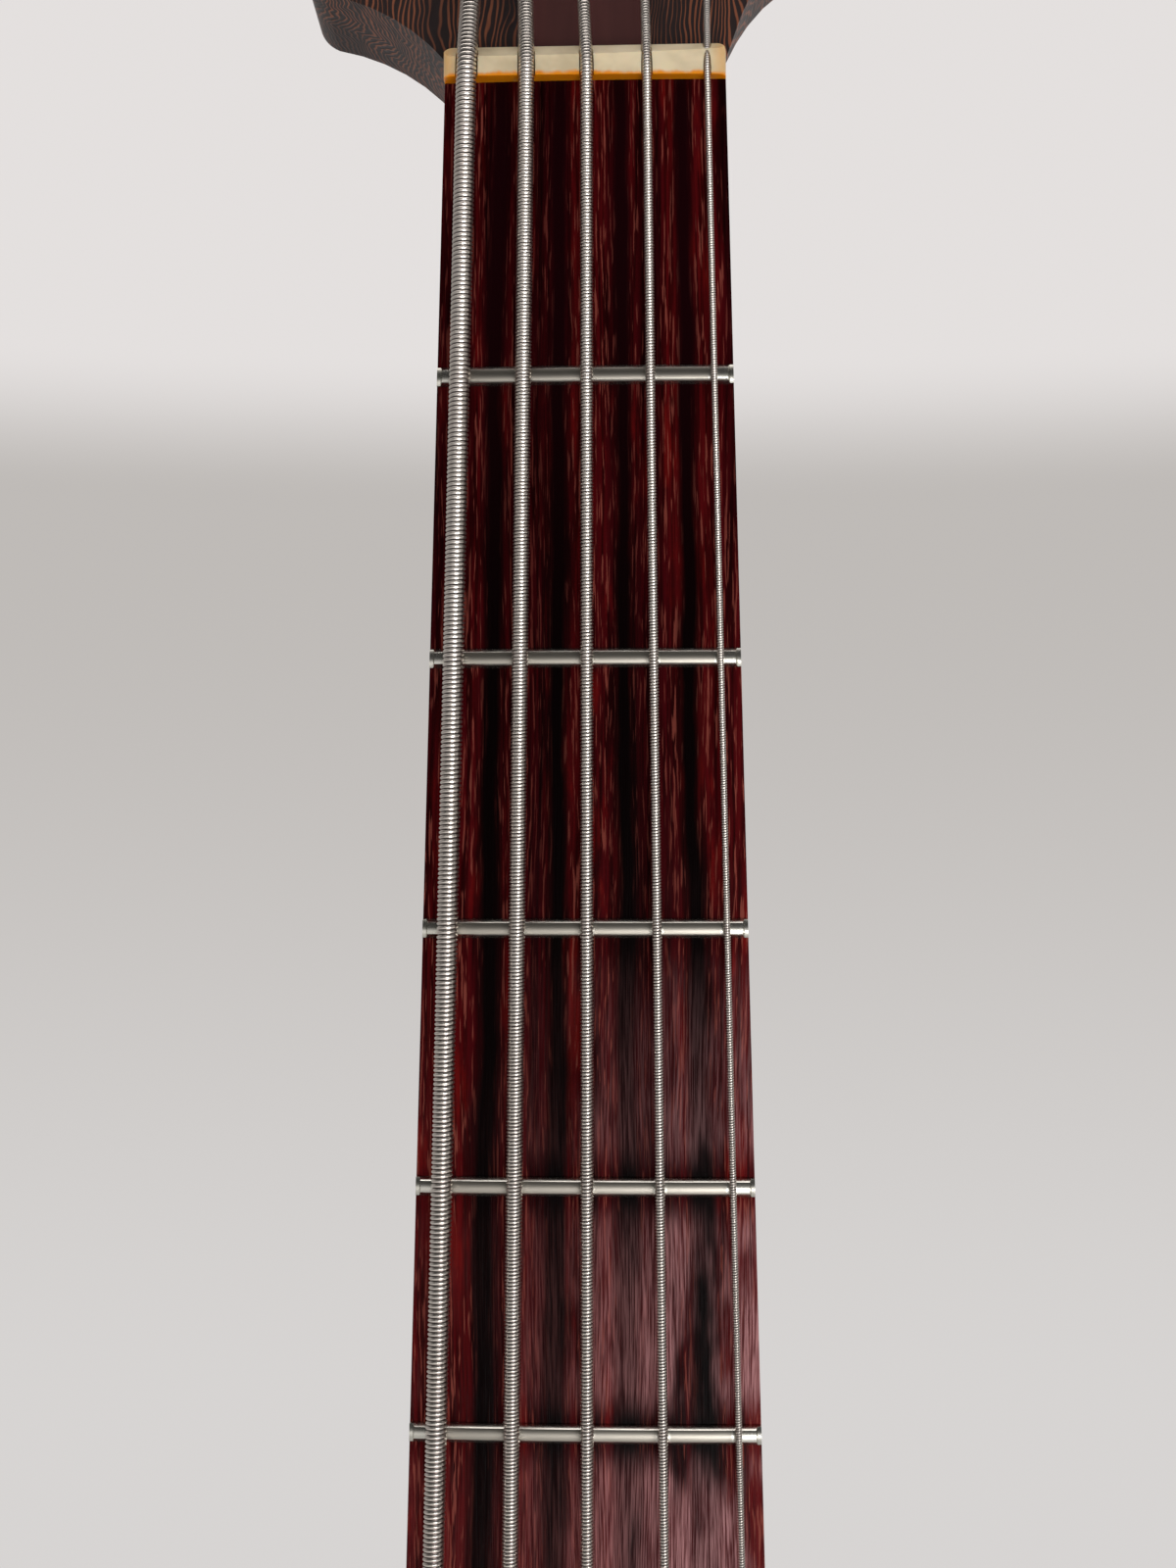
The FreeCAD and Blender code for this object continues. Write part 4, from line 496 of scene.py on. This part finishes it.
def fretboard_wood():
    """Dark red rosewood, with painted string shadows black midway between the strings and a painted sheen between
    the frets further down.
    """
    material, tree, shader = start_material("fretboard_wood")
    grain = wandering_grain(tree, 0.0040, (80.0, 40.0, 10.0))
    streak = noise(tree, (200.0, 60.0, 3.0), 3.0, 0.5, grain)
    line = noise(tree, (1300.0, 300.0, 34.0), 3.0, 0.65, grain)
    fibre = noise(tree, (3000.0, 900.0, 150.0), 2.0, 0.5, grain)
    thread = noise(tree, (4600.0, 900.0, 110.0), 3.0, 0.6, grain)
    patch = noise(tree, (230.0, 60.0, 55.0), 4.0, 0.6, grain)
    spot = noise(tree, (130.0, 60.0, 30.0), 3.0, 0.6, grain)

    red = fade(tree, streak, 0.36, 0.58)
    base = ramp(tree, streak, (0.34, ROSEWOOD_DARK), (0.50, ROSEWOOD_MIDDLE), (0.64, ROSEWOOD_RED))
    warm = times(tree, fade(tree, patch, 0.52, 0.66), red)
    patched = blend(tree, times(tree, warm, 0.75), base, ROSEWOOD_WARM)
    lined = blend(tree, fade(tree, line, 0.40, 0.64), patched, ROSEWOOD_LINE, "MULTIPLY")
    lit = times(tree, fade(tree, fibre, 0.56, 0.65), plus(tree, red, 0.15))
    fibred = blend(tree, times(tree, lit, 0.80), lined, ROSEWOOD_FIBRE)

    # Painted shadows of the strings: black bands midway between each two strings, lighter by the nut
    over = string_place(tree)
    past_shadow = plus(tree, minus(tree, over, STRING_SHADOW_PLACE), swing(tree, spot, STRING_SHADOW_WANDER))
    off_shadow = fade(tree, calc(tree, "PINGPONG", past_shadow, 0.5), *STRING_SHADOW_EDGE)
    off_centre = calc(tree, "ABSOLUTE", minus(tree, over, MIDDLE_STRING))
    margin = fade(tree, off_centre, MIDDLE_STRING, MIDDLE_STRING + BOARD_MARGIN)
    unshadowed = calc(tree, "MAXIMUM", off_shadow, margin)
    number = fret_number(tree)
    string_shadow = blend(tree, fade(tree, number, *NUT_FRETS), STRING_SHADOW_COLOUR, STRING_SHADOW_BY_NUT)
    shadowed = blend(tree, unshadowed, string_shadow, fibred)

    # Painted sheen of reflected light: pale wood between the frets further down, strongest on the treble side,
    # kept off the fret lines and mostly out of the string shadows
    treble = fade(tree, axis(tree, "X"), *SHEEN_SIDE)
    sheen_fade = level(tree, fade(tree, number, *SHEEN_FADE_FRETS), 1.0, 0.3)
    sheen_reach = times(tree, fade(tree, number, *SHEEN_FRETS), sheen_fade)
    sheen_reach = times(tree, sheen_reach, level(tree, treble, 0.12, 1.0))
    sheen_clear = calc(tree, "MAXIMUM", unshadowed, times(tree, treble, 0.65))
    sheen_reach = times(tree, sheen_reach, level(tree, sheen_clear, 0.10, 1.0))
    away = fade(tree, calc(tree, "PINGPONG", number, 0.5), *FRET_SHEEN_GAP)
    sheen = times(tree, times(tree, away, sheen_reach), fade(tree, spot, 0.28, 0.52))
    # Colour of the painted sheen, paler on the treble side and broken up along the grain
    pale = blend(tree, treble, SHEEN_BASS, SHEEN_TREBLE)
    sheen_colour = blend(tree, fade(tree, thread, 0.36, 0.68), SHEEN_DEEP, pale)
    colour = blend(tree, times(tree, sheen, 0.90), shadowed, sheen_colour)

    rough = level(tree, noise(tree, (160.0, 60.0, 14.0)), 0.27, 0.41)
    relief = plus(tree, line, times(tree, thread, 0.8))
    finish(tree, shader, Base_Color=colour, Roughness=rough, Specular_IOR_Level=0.03,
           Normal=bump(tree, relief, 0.35, GRAIN_DEPTH))
    return material


# Frets: colours, among them a painted dim reflection on the worn flats and a painted highlight line, radius of the
# worn crowns, edge of the wear in string spaces, and slopes of a fret's face
FRET_NICKEL = (rgb(0.62, 0.60, 0.52), rgb(0.70, 0.68, 0.63))
FRET_WORN_AND_DIM = rgb(0.40, 0.37, 0.32)
FRET_RIM_HIGHLIGHT = rgb(0.78, 0.76, 0.70)
FRET_DOME = 0.003
WEAR_EDGE = (0.07, 0.11)
CREST_SLOPE = (0.52, 0.42)
RIM_OUTSIDE = (0.62, 0.52)
RIM_INSIDE = (0.36, 0.46)


def fret_metal():
    """Nickel silver with dull, slightly domed flats worn between the strings, darkened by a painted dim
    reflection, and a painted highlight line on each fret's slope.
    """
    material, tree, shader = start_material("fret_metal")
    over = string_place(tree)
    from_edge = calc(tree, "MINIMUM", over, minus(tree, len(STRINGS) - 1.0, over))
    beside = calc(tree, "MINIMUM", calc(tree, "PINGPONG", over, 0.5), from_edge)
    number = fret_number(tree)
    to_bridge = plus(tree, axis(tree, "Z"), SCALE * MM)
    fret_space = times(tree, to_bridge, math.log(2.0) / FRETS_PER_OCTAVE)
    off_crest = times(tree, minus(tree, number, calc(tree, "ROUND", number)), fret_space)
    dome = times(tree, times(tree, off_crest, off_crest), -0.5 / FRET_DOME)
    normal = add(tree, "ShaderNodeNewGeometry").outputs["Normal"]
    facing = add(tree, "ShaderNodeSeparateXYZ", {"Vector": normal})
    slope = calc(tree, "ABSOLUTE", facing.outputs["Z"])
    worn = times(tree, fade(tree, beside, *WEAR_EDGE), fade(tree, slope, *CREST_SLOPE))
    # Painted highlight: a bright line along the band of each fret's face that slopes between crest and side
    rim = times(tree, fade(tree, slope, *RIM_OUTSIDE), fade(tree, slope, *RIM_INSIDE))
    clean = blend(tree, noise(tree, (300.0, 300.0, 300.0)), *FRET_NICKEL)
    # Flats worn between the strings, their colour darkened further as a painted dim reflection
    worn_and_dimmed = blend(tree, worn, clean, FRET_WORN_AND_DIM)
    colour = blend(tree, times(tree, rim, 0.5), worn_and_dimmed, FRET_RIM_HIGHLIGHT)
    finish(tree, shader, Base_Color=colour, Metallic=1.0, Roughness=level(tree, worn, 0.27, 0.35),
           Normal=bump(tree, dome, 1.0, 1.0))
    return material


# Nut: colours, and the reach of its stained ends and its amber foot in metres
NUT_BONE = (rgb(0.52, 0.42, 0.27), rgb(0.70, 0.58, 0.39))
NUT_ENDS = rgb(0.60, 0.33, 0.10)
NUT_FOOT = rgb(0.72, 0.230, 0.001)
ENDS_REACH = (0.0195, 0.0226)
FOOT_REACH = (0.0016, 0.0009)
FOOT_RAGGED = 0.0016


def nut_bone():
    """Cream bone, amber at its foot and stained amber at its ends."""
    material, tree, shader = start_material("nut_bone")
    cloud = noise(tree, (120.0, 120.0, 160.0))
    bone = blend(tree, fade(tree, cloud, 0.35, 0.65), *NUT_BONE)
    ends = fade(tree, calc(tree, "ABSOLUTE", axis(tree, "X")), *ENDS_REACH)
    stained = blend(tree, times(tree, ends, 0.7), bone, NUT_ENDS)
    ragged = times(tree, noise(tree, (420.0, 200.0, 200.0)), FOOT_RAGGED)
    foot = fade(tree, plus(tree, axis(tree, "Z"), ragged), *FOOT_REACH)
    colour = blend(tree, foot, stained, NUT_FOOT)
    finish(tree, shader, Base_Color=colour, Roughness=0.34, Subsurface_Weight=0.35,
           Subsurface_Radius=(1.0, 0.6, 0.35), Subsurface_Scale=0.0015)
    return material


# Neck and body: colours of the timbers, and the striped wood's pitch and wander in metres
STRIPE_DARK = (rgb(0.010, 0.007, 0.0075), rgb(0.026, 0.016, 0.015))
STRIPE_LINE = rgb(0.190, 0.062, 0.031)
STRIPE_PITCH = 0.00085
STRIPE_WANDER = 0.010
CORE_BROWN = (rgb(0.044, 0.012, 0.011), rgb(0.076, 0.023, 0.021))
BODY_DARK = rgb(0.085, 0.028, 0.014)
BODY_MIDDLE = rgb(0.155, 0.056, 0.026)
BODY_LIGHT = rgb(0.230, 0.092, 0.044)
BODY_LINE = rgb(0.62, 0.55, 0.5)
BODY_PORE = rgb(0.03, 0.011, 0.007)


def striped_wood():
    """Black-brown wood with thin wavy orange-brown lines."""
    material, tree, shader = start_material("neck_side_wood")
    drift = swing(tree, noise(tree, (70.0, 110.0, 26.0)), STRIPE_WANDER)
    across = plus(tree, axis(tree, "X"), drift)
    wave = calc(tree, "SINE", times(tree, across, 2 * math.pi / STRIPE_PITCH))
    lines = plus(tree, wave, swing(tree, noise(tree, (500.0, 200.0, 40.0)), 2.4))
    shade = noise(tree, (60.0, 60.0, 18.0))
    lit = times(tree, fade(tree, lines, 0.20, 1.0), fade(tree, shade, 0.20, 0.65))
    colour = blend(tree, lit, blend(tree, shade, *STRIPE_DARK), STRIPE_LINE)
    finish(tree, shader, Base_Color=colour, Roughness=0.40, Specular_IOR_Level=0.20,
           Normal=bump(tree, lines, 0.12, GRAIN_DEPTH))
    return material


def core_wood():
    """Plain dark red-brown strip down the middle of the neck."""
    material, tree, shader = start_material("neck_core_wood")
    colour = blend(tree, noise(tree, (500.0, 300.0, 12.0), detail=4.0), *CORE_BROWN)
    finish(tree, shader, Base_Color=colour, Roughness=0.38, Specular_IOR_Level=0.3)
    return material


def body_wood():
    """Red-brown satin timber with long open grain."""
    material, tree, shader = start_material("body_wood")
    figure = noise(tree, (40.0, 30.0, 2.5), detail=5.0)
    line = noise(tree, (700.0, 300.0, 9.0))
    pore = noise(tree, (2200.0, 900.0, 70.0), detail=1.0)
    base = ramp(tree, figure, (0.30, BODY_DARK), (0.50, BODY_MIDDLE), (0.70, BODY_LIGHT))
    lined = blend(tree, fade(tree, line, 0.42, 0.68), base, BODY_LINE, "MULTIPLY")
    colour = blend(tree, times(tree, fade(tree, pore, 0.60, 0.72), 0.7), lined, BODY_PORE)
    finish(tree, shader, Base_Color=colour, Roughness=0.36, Specular_IOR_Level=0.45,
           Normal=bump(tree, pore, 0.10, GRAIN_DEPTH))
    return material


# Strings: nickel colours, and the painted shade between the turns, tinted red as a painted reflection of the board
STRING_NICKEL = (rgb(0.82, 0.72, 0.64), rgb(0.98, 0.94, 0.87))
STRING_VALLEY_SHADE = rgb(0.055, 0.026, 0.026)


def string_steel():
    """Bright nickel-plated wrap wire, with painted shade between its turns, tinted red as a painted reflection of
    the board.
    """
    material, tree, shader = start_material("string_steel")
    bright = blend(tree, noise(tree, (90.0, 90.0, 40.0)), *STRING_NICKEL)
    valley = add(tree, "ShaderNodeAttribute", attribute_name="valley").outputs["Fac"]
    # Painted shade in the valleys between the turns
    colour = blend(tree, fade(tree, valley, 0.25, 0.95), bright, STRING_VALLEY_SHADE)
    finish(tree, shader, Base_Color=colour, Metallic=1.0, Roughness=0.33)
    return material


def metal(name, colour, roughness):
    """Machined metal with a little wear."""
    material, tree, shader = start_material(name)
    wear = noise(tree, (260.0, 260.0, 260.0), detail=4.0)
    worn = blend(tree, fade(tree, wear, 0.35, 0.75), colour, shaded(colour, 0.8))
    rough = level(tree, wear, roughness, roughness + 0.12)
    finish(tree, shader, Base_Color=worn, Metallic=1.0, Roughness=rough)
    return material


def plain(name, colour, roughness):
    """Moulded plastic, foam or rubber with a faint mottle."""
    material, tree, shader = start_material(name)
    mottle = noise(tree, (400.0, 400.0, 400.0))
    shade = blend(tree, mottle, colour, shaded(colour, 0.75))
    rough = level(tree, mottle, roughness, roughness + 0.1)
    finish(tree, shader, Base_Color=shade, Roughness=rough, Normal=bump(tree, mottle, 0.05, GRAIN_DEPTH))
    return material


# Metals and plastics: colour and roughness
METALS = {
    "dark_hardware": (rgb(0.035, 0.035, 0.038), 0.26),
    "bright_hardware": (rgb(0.66, 0.65, 0.63), 0.16),
    "saddle_metal": (rgb(0.55, 0.54, 0.52), 0.24),
    "screw_steel": (rgb(0.45, 0.45, 0.45), 0.26),
    "rod_steel": (rgb(0.40, 0.39, 0.38), 0.34),
    "ball_brass": (rgb(0.72, 0.50, 0.20), 0.28),
    "pot_metal": (rgb(0.60, 0.60, 0.58), 0.30),
    "coil_copper": (rgb(0.60, 0.27, 0.14), 0.35),
}
PLASTICS = {
    "dot_plastic": (rgb(0.72, 0.70, 0.64), 0.40),
    "pickup_plastic": (rgb(0.016, 0.016, 0.017), 0.42),
    "cover_plastic": (rgb(0.018, 0.018, 0.018), 0.50),
    "knob_plastic": (rgb(0.014, 0.014, 0.015), 0.30),
    "foam": (rgb(0.05, 0.05, 0.055), 0.85),
    "capacitor_plastic": (rgb(0.33, 0.11, 0.03), 0.35),
    "lead_rubber": (rgb(0.03, 0.03, 0.032), 0.55),
}
looks = {
    "fretboard_wood": fretboard_wood(),
    "fret_metal": fret_metal(),
    "nut_bone": nut_bone(),
    "neck_side_wood": striped_wood(),
    "neck_core_wood": core_wood(),
    "body_wood": body_wood(),
    "string_steel": string_steel(),
}
for name, look in METALS.items():
    looks[name] = metal(name, *look)
for name, look in PLASTICS.items():
    looks[name] = plain(name, *look)


def dress(piece, slot):
    """Gives a piece the look of its material slot."""
    piece.data.materials.clear()
    piece.data.materials.append(looks[slot])


for part in frame["record"]["subparts"]:
    dress(nodes[part["node"]], part["material_slot"])
for piece in strings:
    dress(piece, "string_steel")


# Studio floor, in metres
FLOOR_COLOUR = rgb(0.72, 0.71, 0.70)
FLOOR_GAP = 0.006
FLOOR_RADIUS = 2.0
FLOOR_SIDES = 96
FLOOR_FADE = (0.8, 1.9)


def make_floor():
    """Pale floor under the instrument, fading into the background."""
    bpy.ops.mesh.primitive_circle_add(vertices=FLOOR_SIDES, radius=FLOOR_RADIUS, fill_type="NGON")
    floor = bpy.context.object
    floor.name = "floor"
    low, high = cad_bounds
    floor.location = ((low.x + high.x) / 2, (low.y + high.y) / 2, low.z - FLOOR_GAP)
    material, tree, shader = start_material("floor_pale")
    finish(tree, shader, Base_Color=FLOOR_COLOUR, Roughness=0.9, Specular_IOR_Level=0.1)
    away = add(tree, "ShaderNodeVectorMath", {0: place_of(tree)}, operation="LENGTH").outputs["Value"]
    clear = add(tree, "ShaderNodeBsdfTransparent")
    mixed = add(tree, "ShaderNodeMixShader", {
        0: fade(tree, away, *FLOOR_FADE),
        1: shader.outputs["BSDF"],
        2: clear.outputs["BSDF"],
    })
    tree.links.new(mixed.outputs["Shader"], tree.nodes["Material Output"].inputs["Surface"])
    floor.data.materials.append(material)


# Light from all round and the background behind, each edge given by a direction's own X, Y or Z
WORLD_COLOUR = rgb(1.0, 0.99, 0.98)
WORLD_LEVEL = 0.50
WALL_COLOUR = rgb(0.775, 0.745, 0.735)
SWEEP_COLOUR = rgb(0.52, 0.495, 0.475)
LOW_COLOUR = rgb(0.68, 0.66, 0.65)
WALL_EDGE = (0.175, 0.235)
SWEEP_EDGE = (0.16, -0.22)

# The room as shiny pieces mirror it: dim before the front and at the sides, bright at the ceiling
FRONT_DIM = 0.04
FRONT_EDGE = (0.25, -0.55)
FRONT_FOOT = (-0.30, 0.05)
SIDE_DIM = 0.45
SIDE_EDGE = (0.35, 0.85)
CEILING_GAIN = 2.6
CEILING_EDGE = (0.72, 0.95)


def make_world():
    """Even soft light, with a pale sweep of background and a dim room before the front."""
    world = bpy.data.worlds.new("studio")
    bpy.context.scene.world = world
    world.use_nodes = True
    tree = world.node_tree
    light = tree.nodes["Background"]
    finish(tree, light, Color=WORLD_COLOUR, Strength=WORLD_LEVEL)
    ray = add(tree, "ShaderNodeLightPath").outputs
    direction = add(tree, "ShaderNodeTexCoord").outputs["Generated"]
    way = add(tree, "ShaderNodeSeparateXYZ", {"Vector": direction}).outputs
    lower = blend(tree, fade(tree, way["Z"], *SWEEP_EDGE), SWEEP_COLOUR, LOW_COLOUR)
    backdrop = blend(tree, fade(tree, way["Z"], *WALL_EDGE), lower, WALL_COLOUR)

    front = times(tree, fade(tree, way["Y"], *FRONT_EDGE), fade(tree, way["Z"], *FRONT_FOOT))
    side = fade(tree, calc(tree, "ABSOLUTE", way["X"]), *SIDE_EDGE)
    kept = times(tree, level(tree, front, 1.0, FRONT_DIM), level(tree, side, 1.0, SIDE_DIM))
    mirrored = plus(tree, kept, times(tree, fade(tree, way["Z"], *CEILING_EDGE), CEILING_GAIN))
    strength = plus(tree, 1.0, times(tree, minus(tree, mirrored, 1.0), ray["Is Glossy Ray"]))
    shown = add(tree, "ShaderNodeBackground", {"Color": backdrop, "Strength": strength})
    seen = plus(tree, ray["Is Camera Ray"], ray["Is Glossy Ray"])
    seen = calc(tree, "MINIMUM", plus(tree, seen, ray["Is Transmission Ray"]), 1.0)
    mixed = add(tree, "ShaderNodeMixShader", {
        0: seen, 1: light.outputs["Background"], 2: shown.outputs["Background"],
    })
    tree.links.new(mixed.outputs["Shader"], tree.nodes["World Output"].inputs["Surface"])


# Lamps: name, place, target, width and height in metres, watts, spread in degrees, and whether mirrored
LAMPS = (
    ("key_lamp", (0.60, -1.5, -0.70), (0.0, 0.0, -0.15), (0.9, 0.4), 2.6, 75.0, True),
    ("left_lamp", (-1.5, -0.7, 0.2), (0.0, 0.0, -0.2), (0.8, 1.4), 7.0, 180.0, False),
    ("right_lamp", (1.5, -0.5, 0.0), (0.0, 0.0, -0.3), (0.8, 1.4), 5.0, 180.0, False),
)


def stand(name, data, place, ahead):
    """New lamp or camera at a place, looking ahead."""
    holder = bpy.data.objects.new(name, data)
    holder.location = place
    holder.rotation_euler = ahead.to_track_quat("-Z", "Y").to_euler()
    bpy.context.scene.collection.objects.link(holder)
    return holder


def make_lamp(name, place, target, size, power, spread_angle, mirrored):
    """Soft rectangular lamp aimed at a point, seen or not seen in shiny pieces."""
    lamp = bpy.data.lights.new(name, "AREA")
    lamp.shape = "RECTANGLE"
    lamp.size, lamp.size_y = size
    lamp.energy = power
    lamp.spread = math.radians(spread_angle)
    holder = stand(name, lamp, place, Vector(target) - Vector(place))
    holder.visible_camera = False
    holder.visible_glossy = mirrored


# Camera, from the photograph's viewing angle, in metres with its lens in millimetres
CAMERA_PLACE = (0.0189, -0.3806, -0.1358)
CAMERA_AHEAD = (-0.049, 0.997, 0.057)
CAMERA_LENS = 54.0
CAMERA_SENSOR = 36.0
CAMERA_NEAREST = 0.01


def make_camera():
    """Sharp camera before the upper neck."""
    camera = bpy.data.cameras.new("camera")
    camera.lens = CAMERA_LENS
    camera.sensor_width = CAMERA_SENSOR
    camera.clip_start = CAMERA_NEAREST
    camera.dof.use_dof = False
    bpy.context.scene.camera = stand("camera", camera, CAMERA_PLACE, Vector(CAMERA_AHEAD))


make_floor()
make_world()
for lamp in LAMPS:
    make_lamp(*lamp)
make_camera()
bpy.context.scene.view_settings.view_transform = "Standard"
